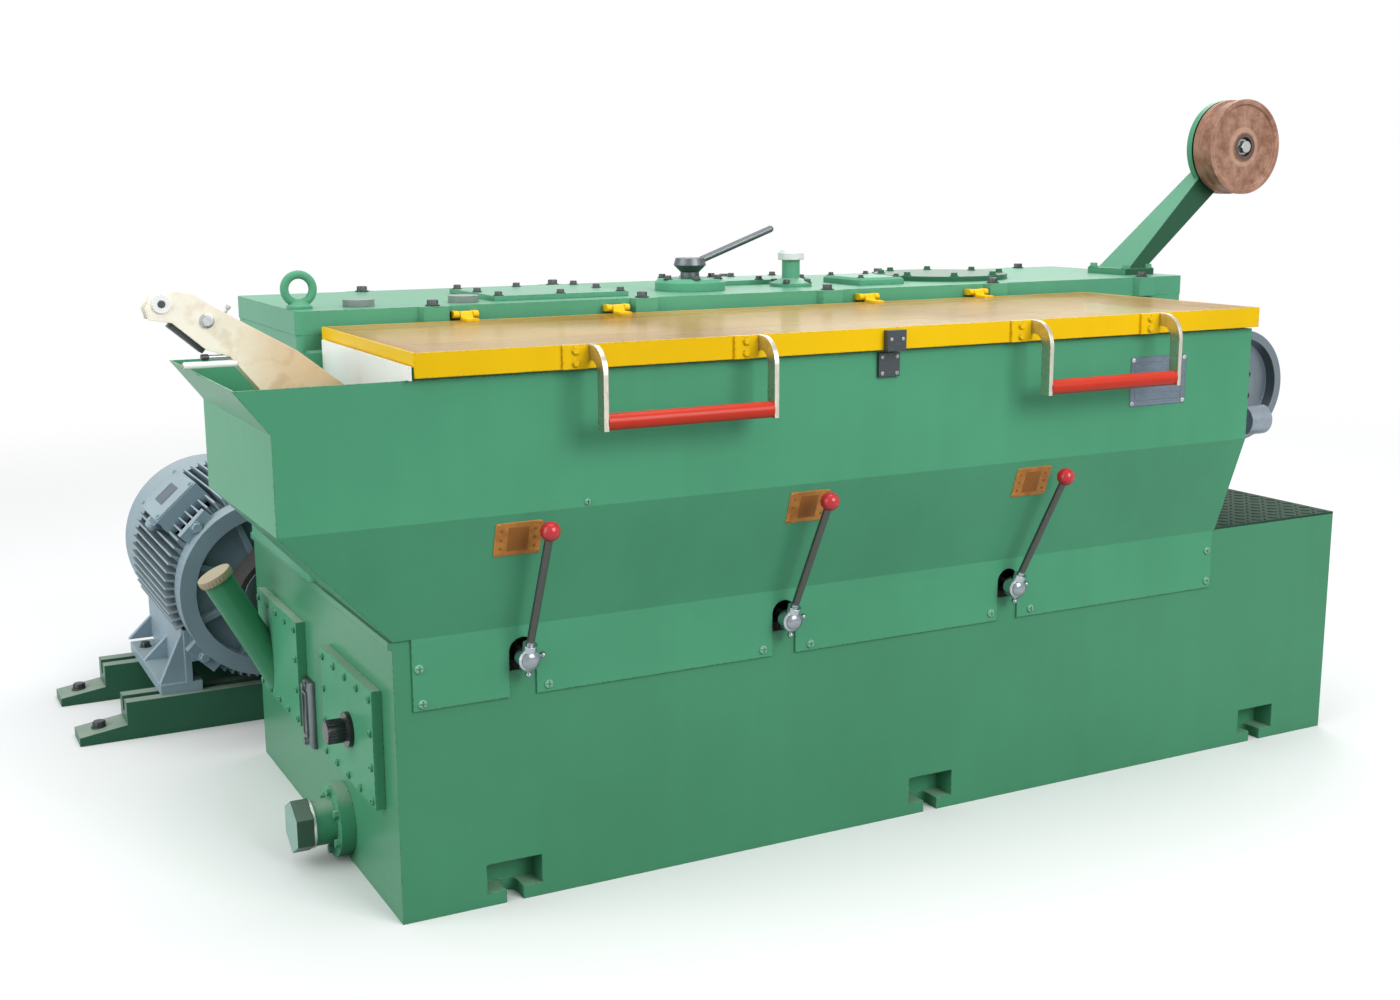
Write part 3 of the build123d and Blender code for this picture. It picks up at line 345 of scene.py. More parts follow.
def fresh(name):
    """Empty material and its Object coordinates."""
    material = bpy.data.materials.new(name)
    material.use_nodes = True
    material.node_tree.nodes.clear()
    return material, Tone(material.node_tree).node("TexCoord", out="Object")


def noise(place, scale, detail=3.0, roughness=0.55):
    """Cloudy noise, from 0 to 1."""
    sockets = {"Vector": place, "Scale": scale, "Detail": detail, "Roughness": roughness}
    return place.node("TexNoise", {}, sockets)


def turned_lines(far, scale):
    """Noise in rings, by the distance from an axis."""
    return far.node("TexNoise", {"noise_dimensions": "1D"}, {"W": far * scale, "Scale": 1.0, "Detail": 3.0})


def ramp(value, low, high):
    """Smooth step from 0 at low to 1 at high."""
    return value.node("MapRange", {"interpolation_type": "SMOOTHSTEP"}, {0: value, 1: low, 2: high})


def mix(share, first, second):
    """Colour between two, by a share."""
    return share.node("Mix", {"data_type": "RGBA"}, {0: share, 6: first, 7: second}, 2)


def vector(place, operation, second, out=0):
    """Vector Math with one more vector."""
    return place.node("VectorMath", {"operation": operation}, {0: place, 1: second}, out)


def axis_value(place, name):
    """One coordinate of a vector."""
    return place.node("SeparateXYZ", {}, {0: place}, name)


def radius_from(place, centre, keep):
    """Distance from a line through a point; keep has 0 along the line and 1 across it."""
    across = vector(vector(place, "SUBTRACT", tuple(centre)), "MULTIPLY", keep)
    return across.node("VectorMath", {"operation": "LENGTH"}, {0: across}, "Value")


def soft_edges(place, radius=EDGE_RADIUS):
    """Normal rounded over edges by a radius."""
    return place.node("Bevel", {"samples": 4}, {"Radius": radius})


def edge_share(place, radius=WEAR_RADIUS):
    """How near an edge is: the rounded normal leans away from the face's own."""
    own = place.node("NewGeometry", out="True Normal")
    lean = 1 - vector(soft_edges(place, radius), "DOT_PRODUCT", own, "Value")
    return ramp(lean, 0.01, 0.16)


def upward(place):
    """How far a face looks up."""
    return axis_value(place.node("NewGeometry", out="True Normal"), "Z")


def shut_in(place, distance):
    """How far a spot is shut in by what stands near it."""
    return 1 - place.node("AmbientOcclusion", {"samples": 6}, {"Distance": distance}, "AO")


def bump(place, height, depth, normal=None):
    """Normal of a surface raised by height times depth, over the rounded normal or a given one."""
    under = soft_edges(place) if normal is None else normal
    return place.node("Bump", {}, {"Height": height, "Distance": depth, "Normal": under})


def surface(material, place, sockets):
    """Ends a material in one Principled shader."""
    shader = place.node("BsdfPrincipled", {}, sockets)
    place.node("OutputMaterial", {}, {"Surface": shader})
    return material


def tinted(colour, factor):
    """Colour made darker or lighter."""
    return tuple(min(1.0, c * factor) for c in colour[:3]) + (1.0,)


DUST = srgb("c3c8bc")
# Colour that the shut-in masks mix in: painted shade in corners, creases and under edges, with some grime
GRIME_AND_SHADE = srgb("23261f")
PRIMER = srgb("4a3b33")


def enamel(name, code, gloss=0.26, dust=0.22, wear=0.7, peel=0.00022, rub_and_highlight=0.2, sheen=0.15, corner_shade_share=0.42,
           patch=None, patch_code="0a0b0b"):
    """Gloss machine paint: cloudy tone, faint runs, dust on top faces, painted shade with grime in corners,
    and chipped edges that are rubbed and lightened as a painted highlight. A high dust share also paints a
    highlight on top faces. A patch is a share of the surface with a colour of its own; on the bed and the
    arm it is painted shade, on the coolant cap a painted highlight."""
    material, place = fresh(name)
    colour = srgb(code)
    cloud = noise(place, 1.7, 4)
    fine = noise(place, 46, 4, 0.65)
    runs = noise(vector(place, "MULTIPLY", (16, 16, 0.9)), 1.0, 3)
    edge = edge_share(place)
    chips = ramp(noise(place, 150, 3, 0.7) + edge * 0.26, 0.78, 0.82) * edge * wear
    film = ramp(upward(place), 0.5, 0.98) * (0.35 + noise(place, 7, 4)) * dust
    # Painted shade with grime: darker where a spot is shut in by what stands near it
    shade_and_grime = ramp(shut_in(place, 0.05) * (0.55 + fine * 0.8), 0.30, 0.85)
    paint = mix(ramp(cloud * 0.82 + runs * 0.18, 0.30, 0.70), tinted(colour, 0.92), tinted(colour, 1.06))
    paint = mix(ramp(fine, 0.62, 0.8) * 0.16, paint, tinted(colour, 0.72))
    if patch is not None:
        paint = mix(patch(place), paint, srgb(patch_code))
    paint = mix(film, paint, DUST)
    paint = mix(shade_and_grime * corner_shade_share, paint, GRIME_AND_SHADE)
    # Edges lightened: rubbed paint plus a painted highlight along them
    paint = mix(edge * rub_and_highlight, paint, tinted(colour, 1.45))
    paint = mix(chips, paint, PRIMER)
    rough = gloss + cloud * 0.10 + film * 0.5 + shade_and_grime * 0.25 + chips * 0.3
    skin_height = noise(place, 210, 2) + noise(place, 30, 2) * 1.6 - chips * 1.5
    return surface(material, place, {
        "Base Color": paint, "Roughness": rough, "Normal": bump(place, skin_height, peel),
        "Specular IOR Level": sheen, "Coat Weight": sheen * 0.4, "Coat Roughness": 0.12})


def cast_paint(name, code):
    """Paint over a rough casting: pitted skin, dust on top, edges lightened as a painted highlight, and
    painted shade with oil grime in the corners.
    """
    material, place = fresh(name)
    colour = srgb(code)
    pits = noise(place, 130, 4, 0.6)
    cloud = noise(place, 3.1, 4)
    edge = edge_share(place, 0.004)
    film = ramp(upward(place), 0.35, 0.95) * (0.3 + noise(place, 9, 4)) * 0.3
    # Painted shade with oil grime, where a spot is shut in
    shade_and_grime = ramp(shut_in(place, 0.04) * (0.6 + pits * 0.7), 0.35, 0.95)
    paint = mix(ramp(cloud, 0.3, 0.7), tinted(colour, 0.86), tinted(colour, 1.08))
    paint = mix(ramp(pits, 0.6, 0.78) * 0.25, paint, tinted(colour, 0.6))
    paint = mix(film, paint, DUST)
    paint = mix(shade_and_grime * 0.5, paint, GRIME_AND_SHADE)
    # Painted highlight along the edges of fins and lugs
    paint = mix(edge * 0.55, paint, tinted(colour, 2.1))
    return surface(material, place, {
        "Base Color": paint, "Roughness": 0.38 + cloud * 0.15 + film * 0.4,
        "Normal": bump(place, pits + cloud, 0.0007)})


def bare_metal(name, code, rough=0.28, grain=(40, 40, 3), stain="3a2c20", stained=0.25, turned=None):
    """Bare or plated metal: fine grain along one direction or in rings round an axis, smudges, stain and
    painted shade in corners.
    """
    material, place = fresh(name)
    colour = srgb(code)
    if turned is None:
        lines = noise(vector(place, "MULTIPLY", grain), 12, 4, 0.7)
    else:
        far = radius_from(place, *turned)
        lines = turned_lines(far, 900)
    smudge = noise(place, 14, 4)
    spots = ramp(noise(place, 70, 5, 0.7), 0.56, 0.74)
    # Painted shade in corners, where a spot is shut in
    shade_and_grime = ramp(shut_in(place, 0.02), 0.35, 0.9)
    tone = mix(ramp(lines, 0.3, 0.7), tinted(colour, 0.82), tinted(colour, 1.08))
    tone = mix(spots * stained, tone, srgb(stain))
    tone = mix(shade_and_grime * 0.6, tone, GRIME_AND_SHADE)
    return surface(material, place, {
        "Base Color": tone, "Metallic": 0.95 - spots * stained * 0.8,
        "Roughness": rough + smudge * 0.16 + spots * stained * 0.3,
        "Normal": bump(place, lines, 0.00012)})


def moulded(name, code, rough=0.25, scuffs=0.3, dust=0.2, sheen=0.5):
    """Moulded plastic: nearly even colour, fine scuffs, a little dust on top and painted shade in corners.
    """
    material, place = fresh(name)
    colour = srgb(code)
    cloud = noise(place, 9, 3)
    scratch = ramp(noise(vector(place, "MULTIPLY", (9, 60, 60)), 6, 4, 0.7), 0.60, 0.72)
    film = ramp(upward(place), 0.6, 1.0) * noise(place, 18, 4) * dust
    tone = mix(cloud, tinted(colour, 0.9), tinted(colour, 1.08))
    tone = mix(scratch * scuffs * 0.4, tone, tinted(colour, 1.6))
    tone = mix(film, tone, DUST)
    # Painted shade in corners
    tone = mix(ramp(shut_in(place, 0.02), 0.3, 0.9) * 0.5, tone, GRIME_AND_SHADE)
    return surface(material, place, {
        "Base Color": tone, "Roughness": rough + scratch * scuffs * 0.5 + film * 0.5,
        "Specular IOR Level": sheen,
        "Normal": bump(place, noise(place, 260, 2) + scratch * 0.4, 0.00012)})


# Lever recesses in the bed's front, which the bed's paint fills near black as painted shade. In metres:
# half their width and height, and from where to how deep
WELL_HALF_WIDTH = 0.034
WELL_HALF_HEIGHT = 0.055
WELL_START = 0.0012
WELL_DEPTH = 0.15


def shaded_lever_wells(place):
    """Share of the bed that lies inside the lever recesses, which gets a near-black painted shade."""
    x0, y0, z0 = spot(LEVER_FIRST - LEVER_PITCH / 2, 0, LEVER_Z)
    pitch = LEVER_PITCH * MM
    from_first = place.math("FLOORED_MODULO", axis_value(place, "X") - x0, pitch)
    near = abs(from_first - pitch / 2) < WELL_HALF_WIDTH
    inside = axis_value(place, "Y") > y0 + WELL_START
    shallow = axis_value(place, "Y") < y0 + WELL_DEPTH
    level = abs(axis_value(place, "Z") - z0) < WELL_HALF_HEIGHT
    return near * inside * shallow * level


def round_cover(place):
    """Share of the gearbox top that belongs to the round cover."""
    return axis_value(place, "X") > BED_LEFT + ROUND_COVER_LEFT * MM


def breather_cap(place):
    """Share of the breather that is its cap."""
    return axis_value(place, "Z") > BREATHER_CAP * MM


def shaded_front_side(place):
    """Share of a piece that faces the front, where the arm gets a painted shade."""
    return axis_value(place.node("NewGeometry", out="True Normal"), "Y") < -0.5


def lit_cap_end(place):
    """Share of the coolant cap that faces away from the bed, which gets a painted highlight."""
    return axis_value(place.node("NewGeometry", out="True Normal"), "X") < -0.5


def amber_sheet(name):
    """Amber window: tinted clear sheet, smudged and a little scratched."""
    material, place = fresh(name)
    smudge = noise(place, 1.8, 4, 0.5)
    scratch = ramp(noise(vector(place, "MULTIPLY", (3, 40, 40)), 7, 4, 0.7), 0.62, 0.75)
    tint = mix(ramp(smudge, 0.3, 0.7), srgb("cf9636"), srgb("ebc77d"))
    return surface(material, place, {
        "Base Color": tint, "Roughness": 0.14 + smudge * 0.10 + scratch * 0.15,
        "Alpha": 0.42 + smudge * 0.2, "Specular IOR Level": 0.5,
        "Normal": bump(place, noise(place, 2.4, 2), 0.004, place.node("NewGeometry", out="Normal"))})


def mottled_copper(name, centre, hub_ring=0.050, dark_disc=0.040):
    """Copper-brown pulley: mottled oxide, turning rings round its axle, a rubbed lip and hub ring, a dark
    disc round the axle, and painted shade in hollows. The hub ring and the dark disc are radii in metres."""
    material, place = fresh(name)
    far = radius_from(place, centre, (1, 0, 1))
    ring = turned_lines(far, 420)
    mottle = noise(place, 34, 5, 0.65)
    blotch = noise(place, 9, 4)
    tone = mix(ramp(mottle * 0.65 + blotch * 0.35, 0.36, 0.66), srgb("80543f"), srgb("ae8873"))
    tone = mix(ramp(ring, 0.45, 0.7) * 0.3, tone, srgb("94664f"))
    tone = mix(edge_share(place, 0.005) * 0.4, tone, srgb("d0ac97"))
    tone = mix((1 - ramp(abs(far - hub_ring), 0.004, 0.010)) * 0.4, tone, srgb("d0ac97"))
    # Dark disc out to a radius round the axle
    tone = mix((1 - ramp(far, dark_disc - 0.003, dark_disc + 0.003)) * 0.8, tone, srgb("453a36"))
    # Painted shade in hollows, where a spot is shut in
    tone = mix(ramp(shut_in(place, 0.03), 0.35, 0.9) * 0.7, tone, srgb("2a1a14"))
    return surface(material, place, {
        "Base Color": tone, "Metallic": 0.35, "Roughness": 0.42 + mottle * 0.2,
        "Normal": bump(place, ring + mottle * 0.6, 0.0003)})


def plated_tan(name, nose_end=-0.40, foot_end=0.02):
    """Pale plated guide plate: cream at the nose, tan towards the foot, faint clouds, painted shade in
    hollows.
    Its ends are given in metres from the bed's left end."""
    material, place = fresh(name)
    nose = ramp(axis_value(place, "X"), BED_LEFT + nose_end, BED_LEFT + foot_end)
    cloud = noise(place, 11, 4)
    tone = mix(ramp(nose * 0.75 + cloud * 0.4, 0.2, 1.0), srgb("faf4e2"), srgb("d8b488"))
    tone = mix(ramp(noise(place, 26, 4), 0.52, 0.72) * (0.2 + nose * 0.4), tone, srgb("c39a6c"))
    tone = mix(edge_share(place, 0.004) * 0.35, tone, srgb("fff4d8"))
    # Painted shade in hollows, where a spot is shut in
    tone = mix(ramp(shut_in(place, 0.03), 0.4, 0.95) * 0.45, tone, srgb("5b4630"))
    return surface(material, place, {
        "Base Color": tone, "Roughness": 0.42 + cloud * 0.15,
        "Normal": bump(place, noise(vector(place, "MULTIPLY", (5, 90, 90)), 5, 3), 0.00015)})


def lever_finish(name, hub=0.043):
    """Lever: bright turned hub and socket out to a radius in metres, a darkened rod beyond it, and painted
    shade in corners.
    """
    material, place = fresh(name)
    pivot = spot(0, LEVER_MIDDLE, LEVER_Z)
    far = radius_from(place, pivot, (0, 1, 1))
    shank = ramp(far, hub - 0.003, hub + 0.003)
    lines = noise(vector(place, "MULTIPLY", (60, 60, 9)), 9, 4, 0.7)
    wear = ramp(noise(place, 30, 4), 0.5, 0.75)
    tone = mix(shank, srgb("b0b8bd"), srgb("4c504c"))
    tone = mix(ramp(lines, 0.45, 0.75) * 0.3, tone, srgb("6b6f70"))
    # Painted shade in corners
    tone = mix(ramp(shut_in(place, 0.03), 0.25, 0.8) * 0.8, tone, GRIME_AND_SHADE)
    return surface(material, place, {
        "Base Color": tone, "Metallic": 0.95 - shank * 0.35,
        "Roughness": 0.12 + shank * 0.24 + wear * 0.14,
        "Normal": bump(place, lines, 0.00015)})


def rubber(name):
    """Belt rubber: dull black in two shades, fine cloth grain."""
    material, place = fresh(name)
    weave = noise(place, 320, 2)
    tone = mix(noise(place, 12, 4), srgb("161615"), srgb("2b2a28"))
    return surface(material, place, {
        "Base Color": tone, "Roughness": 0.72 + weave * 0.15, "Normal": bump(place, weave, 0.0004)})


def label_brass(name):
    """Lacquered brass label: cloudy orange tone, paler where its edges are worn."""
    material, place = fresh(name)
    cloud = noise(place, 40, 4)
    tone = mix(ramp(cloud, 0.3, 0.7), srgb("9c6228"), srgb("b67a34"))
    tone = mix(edge_share(place, 0.003) * 0.3, tone, srgb("e0b468"))
    return surface(material, place, {
        "Base Color": tone, "Metallic": 0.45, "Roughness": 0.36 + cloud * 0.2,
        "Normal": bump(place, noise(place, 300, 2), 0.0001)})


GREEN = "4f9a75"
GEAR_GREEN = "589d7c"
DARK_GREEN = "2c6648"
EVEN_GRAIN = (30, 30, 30)
pulley_low, pulley_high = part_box("guide_pulley")
capstan_low, capstan_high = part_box("exit_capstan")
pulley_middle = (pulley_low + pulley_high) / 2
capstan_axis = ((capstan_low + capstan_high) / 2, (1, 0, 1))

machine_enamel = enamel("machine_enamel", GREEN, sheen=0.1, corner_shade_share=0.2)
# Left end: pale top faces and edges from heavy dust and rub, mostly a painted highlight, with some real
# dust
end_enamel_highlit = enamel("end_enamel_highlit", GREEN, dust=0.5, rub_and_highlight=0.45, sheen=0.05, corner_shade_share=0.3)
# Filler pipe: a darker copy of the machine green, as painted shade
filler_enamel_shaded = enamel("filler_enamel_shaded", "428a65")
gear_enamel = enamel("gear_enamel", GEAR_GREEN, dust=0.1, sheen=0.06)
# Bed: darker than the tank's green as painted shade under the tank's overhang; lever recesses near black as
# shade
bed_enamel_shaded = enamel("bed_enamel_shaded", "478d69", rub_and_highlight=0.3, corner_shade_share=0.2, patch=shaded_lever_wells)
cover_enamel = enamel("cover_enamel", GEAR_GREEN, dust=0.1, patch=round_cover, patch_code=DARK_GREEN)
dark_enamel = enamel("dark_enamel", DARK_GREEN, gloss=0.34, dust=0.25)
breather_enamel = enamel("breather_enamel", "5ca281", patch=breather_cap, patch_code="d3d8d6")
# Arm: its front face painted dark green as shade
arm_enamel_shaded_front = enamel("arm_enamel_shaded_front", "549877", dust=0.1, patch=shaded_front_side, patch_code="28553d")
tread_enamel = enamel("tread_enamel", "294638", gloss=0.55, dust=0.04, rub_and_highlight=0.3, sheen=0.06)
# Motor rails: dark green, partly their own paint and partly painted shade of the shadow they lie in
rail_enamel_shaded = enamel("rail_enamel_shaded", "356850", gloss=0.34, dust=0.5)
lid_enamel = enamel("lid_enamel", "ecbe00", gloss=0.3, dust=0.04, wear=0.5, sheen=0.12)
white_enamel = enamel("white_enamel", "f6f6f3", gloss=0.3, dust=0.05, wear=0.3, corner_shade_share=0.12)
grey_enamel = enamel("grey_enamel", "7e8b86", gloss=0.32)
# Coolant cap: end face pale as a painted highlight; edges lightened by rubbing and a painted highlight
cap_enamel_lit = enamel("cap_enamel_lit", "3c5a4b", gloss=0.3, wear=0.2, rub_and_highlight=0.9,
                    patch=lit_cap_end, patch_code="86ada0")
motor_paint = cast_paint("motor_paint", "839aa5")
amber = amber_sheet("amber")
red_grips = moulded("red_grips", "c22a0c", rough=0.32, scuffs=0.15, dust=0.04, sheen=0.3)
red_knobs = moulded("red_knobs", "c01f28", rough=0.18, scuffs=0.15, dust=0.04)
black_moulded = moulded("black_moulded", "191d20", rough=0.22, scuffs=0.2, dust=0.05)
latch_moulded = moulded("latch_moulded", "3a4046", rough=0.26, scuffs=0.4)
beige_moulded = moulded("beige_moulded", "ab9c7f", rough=0.5, scuffs=0.3)
plated_legs = bare_metal("plated_legs", "cfc9bb", rough=0.20, grain=(30, 30, 4),
                         stain="8b7a52", stained=0.3)
bright_bolts = bare_metal("bright_bolts", "b9bdbc", rough=0.25, grain=EVEN_GRAIN)
stud_chrome = bare_metal("stud_chrome", "8f979d", rough=0.14, grain=EVEN_GRAIN, stained=0.1)
dark_bolts = bare_metal("dark_bolts", "4b4f50", rough=0.34, grain=EVEN_GRAIN)
oiled_steel = bare_metal("oiled_steel", "78838b", rough=0.3, stained=0.3, turned=capstan_axis)
die_steel = bare_metal("die_steel", "919ca6", rough=0.3, stained=0.2)
shift_steel = bare_metal("shift_steel", "686e72", rough=0.32, stained=0.2)
gauge_steel = bare_metal("gauge_steel", "727a7c", rough=0.34, stained=0.2)
silver_plate = bare_metal("silver_plate", "6c7985", rough=0.42, grain=(4, 40, 40),
                          stain="6d7276", stained=0.2)
guide_plate = plated_tan("guide_plate")
copper = mottled_copper("copper", pulley_middle)
lever_metal = lever_finish("lever_metal")
belt_rubber = rubber("belt_rubber")
brass_label = label_brass("brass_label")
label_etch = enamel("label_etch", "96602d", gloss=0.4, dust=0.05, wear=0.2)
# Apron screws: paler than the apron's green, as a painted highlight on their domes
screw_enamel_highlit = enamel("screw_enamel_highlit", "7fb99c", wear=0.3)

FINISHES = {
    machine_enamel: ("tank_front", "tank_right_end", "tank_back"),
    end_enamel_highlit: ("tank_left_end", "side_covers", "coolant_outlet"),
    filler_enamel_shaded: ("filler_pipe",),
    gear_enamel: ("gearbox_case", "gearbox_cover", "eye_bolt", "shift_boss"),
    arm_enamel_shaded_front: ("guide_arm",),
    bed_enamel_shaded: ("bed",),
    cover_enamel: ("inspection_covers",),
    breather_enamel: ("breather",),
    tread_enamel: ("tread_plate",),
    rail_enamel_shaded: ("motor_rails",),
    lid_enamel: ("lid_frame", "lid_hinges"),
    white_enamel: ("tank_partition", "guide_rollers"),
    grey_enamel: ("oil_caps",),
    cap_enamel_lit: ("coolant_cap",),
    motor_paint: ("motor_end_shield", "motor_frame", "motor_feet", "motor_terminal_box", "motor_fan_cowl"),
    amber: ("lid_window",),
    red_grips: ("handle_grips",),
    red_knobs: ("lever_knob_1", "lever_knob_2", "lever_knob_3"),
    black_moulded: ("drain_plug",),
    latch_moulded: ("latch_block", "latch_plate"),
    beige_moulded: ("filler_cap",),
    plated_legs: ("handle_legs",),
    oiled_steel: ("exit_capstan", "motor_sheave", "driven_sheave"),
    die_steel: ("die_posts", "exit_die_holder"),
    shift_steel: ("shift_handle",),
    gauge_steel: ("sight_gauge",),
    guide_plate: ("wire_guide",),
    copper: ("guide_pulley", "draw_capstans"),
    lever_metal: ("lever_arm_1", "lever_arm_2", "lever_arm_3"),
    belt_rubber: ("drive_belt",),
}
for finish, names in FINISHES.items():
    for name in names:
        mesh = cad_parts[name].data
        mesh.materials.clear()
        mesh.materials.append(finish)


# Added pieces: fasteners, bare plates, the tread pattern and small fittings. Sizes are in millimetres, and
# places in bed millimetres.

# Bolt heads of the gearbox; the larger two are used elsewhere too
SMALL_BOLT = hex_bolt(13, 6, 2)
COVER_BOLT = hex_bolt(17, 8, 2)
CASE_BOLT = hex_bolt(24, 11, 3)


def about(middle, sideways, upwards):
    """Places about a middle on an upright face: every step along x with every step along z."""
    x, y, z = middle
    return [(x + u, y, z + v) for u in sideways for v in upwards]


def on_top(xs, ys, z):
    """Places round the border of a grid of x and y, at one height."""
    return [(x, y, z) for x, y in border(xs, ys)]


# Screws along the apron, and one on the tank's front; their paler green is a painted highlight
APRON_SPOTS = ((52, 538), (57, 464), (330, 466), (844, 468), (967, 465), (1473, 471), (1592, 468),
               (2163, 549), (2166, 469))
TANK_SPOT = (387, TANK_FRONT, 862)

apron_screws = scatter(pan_screw(19, 6), [(x, -SHEET, z) for x, z in APRON_SPOTS], FRONT)
tank_screw = scatter(pan_screw(13, 5), [TANK_SPOT], FRONT)
piece("apron_screws", joined(apron_screws, tank_screw), screw_enamel_highlit)

# Brass labels on the slope over the levers: rivets, an etched panel and dots beside it
LABEL_SPOTS = [(x, -73.7, 799) for x in (243, 915, 1526)]
LABEL_WIDTH = 100
LABEL_HEIGHT = 76
RIVET_INSET = 6
PANEL_WIDTH = 44
PANEL_HEIGHT = 54
DOT_COLUMNS = (-36, 36)
DOT_ROWS = (-20, 0, 20)


def on_labels(sideways, upwards):
    """Places on the lever labels: steps to the side and steps up the slope from their middles."""
    return [(x + u, y + v * SLOPE[2], z - v * SLOPE[1])
            for x, y, z in LABEL_SPOTS for u in sideways for v in upwards]


rivet_x = LABEL_WIDTH / 2 - RIVET_INSET
rivet_rise = LABEL_HEIGHT / 2 - RIVET_INSET
labels = scatter(plate(LABEL_WIDTH, LABEL_HEIGHT, thickness=1.6, corner=4), LABEL_SPOTS, SLOPE)
rivets = scatter(pan_screw(6, 3.4), on_labels((-rivet_x, rivet_x), (-rivet_rise, rivet_rise)), SLOPE)
piece("lever_labels", joined(labels, rivets), brass_label)
panel = plate(PANEL_WIDTH, PANEL_HEIGHT, thickness=1.8, corner=2, bevel=0.15)
panels = scatter(panel, LABEL_SPOTS, SLOPE)
dot = lathe([(3.4, 0), (3.4, 1.9), (3.1, 2.0)], 16)
dots = scatter(dot, on_labels(DOT_COLUMNS, DOT_ROWS), SLOPE)
piece("lever_label_marks", joined(panels, dots), label_etch)

# Rating plate on the tank: bare, with a rim and plain rules in the form of a table
RATING_SPOT = (1886, TANK_FRONT, 1016)
RATING_WIDTH = 175
RATING_HEIGHT = 119
RIM_INSET = 2
SCREW_INSET = 7.5
TABLE_WIDTH = 146
TABLE_HEIGHT = 92
RULE_WIDTH = 1.2
RULE_TOP = 1.9
RULE_ROWS = (-28, -10, 8, 26)
RULE_COLUMN = -14

rating_face = plate(RATING_WIDTH, RATING_HEIGHT, thickness=1.6, corner=4)
rating_rim = frame_line(RATING_WIDTH - 2 * RIM_INSET, RATING_HEIGHT - 2 * RIM_INSET,
                        line=1.4, thickness=2.0)
rating_plate = scatter(joined(rating_face, rating_rim), [RATING_SPOT], FRONT)
piece("rating_plate", rating_plate, silver_plate)
screw_x = RATING_WIDTH / 2 - SCREW_INSET
screw_z = RATING_HEIGHT / 2 - SCREW_INSET
rating_corners = about(RATING_SPOT, (-screw_x, screw_x), (-screw_z, screw_z))
piece("rating_plate_screws", scatter(pan_screw(11, 5), rating_corners, FRONT), white_enamel)
table_rim = frame_line(TABLE_WIDTH, TABLE_HEIGHT, RULE_WIDTH, RULE_TOP, corner=2)
level_rule = plate(TABLE_WIDTH, RULE_WIDTH, RULE_TOP, corner=0.5, bevel=0.2)
upright_rule = plate(RULE_WIDTH, RULE_ROWS[-1] - RULE_ROWS[0], RULE_TOP, corner=0.5, bevel=0.2)
upright_middle = (RULE_ROWS[-1] + RULE_ROWS[0]) / 2
rating_rules = joined(
    scatter(table_rim, [RATING_SPOT], FRONT),
    scatter(level_rule, about(RATING_SPOT, (0,), RULE_ROWS), FRONT),
    scatter(upright_rule, about(RATING_SPOT, (RULE_COLUMN,), (upright_middle,)), FRONT))
piece("rating_plate_rules", rating_rules, gauge_steel)

# Screws in the lid's switch block, in the keeper under it, and in the pads of the handles
KEEPER_THICKNESS = 8
KEEPER_STEPS_X = (-19, 19)
KEEPER_STEPS_Z = (-18, 18)
KEEPER = (1104, TANK_FRONT - KEEPER_THICKNESS, 1098)
LATCH_DEPTH = 16
LATCH_STEPS_X = (-15, 15)
LATCH = (1106, LID_FRONT - LATCH_DEPTH, 1156)
PAD_THICKNESS = 6
PAD_MIDDLES = (357, 739, 1450, 1832)
PAD_ROWS = (1144, 1168)

keeper_screws = scatter(pan_screw(9, 4), about(KEEPER, KEEPER_STEPS_X, KEEPER_STEPS_Z), FRONT)
piece("keeper_screws", keeper_screws, bright_bolts)
latch_screws = scatter(pan_screw(8, 3), about(LATCH, LATCH_STEPS_X, (0,)), FRONT)
piece("latch_screws", latch_screws, bright_bolts, "lid")
pad_spots = [(x, LID_FRONT - PAD_THICKNESS, z) for x in PAD_MIDDLES for z in PAD_ROWS]
piece("handle_screws", scatter(hex_bolt(13, 4, 1.2), pad_spots, FRONT), lid_enamel, "lid")

# Left end of the bed: side covers, coolant outlet, plug, sight gauge and filler cap
SIDE_COVER_STARTS = (103, 707)
SIDE_COVER_PITCH = 88
SIDE_COVER_COLUMNS = 5
SIDE_COVER_ROWS = (236, 309, 383, 456)
OUTLET_FLANGE = (-33, 405, 90)
OUTLET_MOUTH = (-79, 405, 90)
OUTLET_BOLT_RADIUS = 67
PLUG_SEAT = (-36, 261, 345)
GAUGE = (-17, 655, 264)
GAUGE_BOLT_STEP = 68
FILLER_TILT = radians(28)
FILLER_FOOT = (SIDE_COVER_FACE, 975, 312)
FILLER_LENGTH = 250
FILLER_GRIP_LIFT = 3

side_cover_spots = []
for start in SIDE_COVER_STARTS:
    columns = [start + SIDE_COVER_PITCH * i for i in range(SIDE_COVER_COLUMNS)]
    side_cover_spots += [(SIDE_COVER_FACE, y, z) for y, z in border(columns, SIDE_COVER_ROWS)]
piece("side_cover_screws", scatter(cap_screw(16, 5), side_cover_spots, LEFT), end_enamel_highlit)
outlet_spots = round_places(OUTLET_FLANGE, OUTLET_BOLT_RADIUS, 6, LEFT, start=30)
piece("outlet_bolts", scatter(COVER_BOLT, outlet_spots, LEFT), end_enamel_highlit)
outlet_seal = band(inner=50, outer=54, low=0, high=6)
piece("outlet_seal", scatter(outlet_seal, [OUTLET_MOUTH], LEFT), white_enamel)
plug_grip = fluted(diameter=53, length=36, lobes=20, depth=2.4)
piece("plug_grip", scatter(plug_grip, [PLUG_SEAT], LEFT), black_moulded)
gauge_bolts = scatter(hex_bolt(15, 6, 2), about(GAUGE, (0,), (-GAUGE_BOLT_STEP, GAUGE_BOLT_STEP)), LEFT)
gauge_rim = scatter(frame_line(width=38, height=112, line=7, thickness=4), [GAUGE], LEFT)
piece("gauge_frame", joined(gauge_rim, gauge_bolts), gauge_steel)
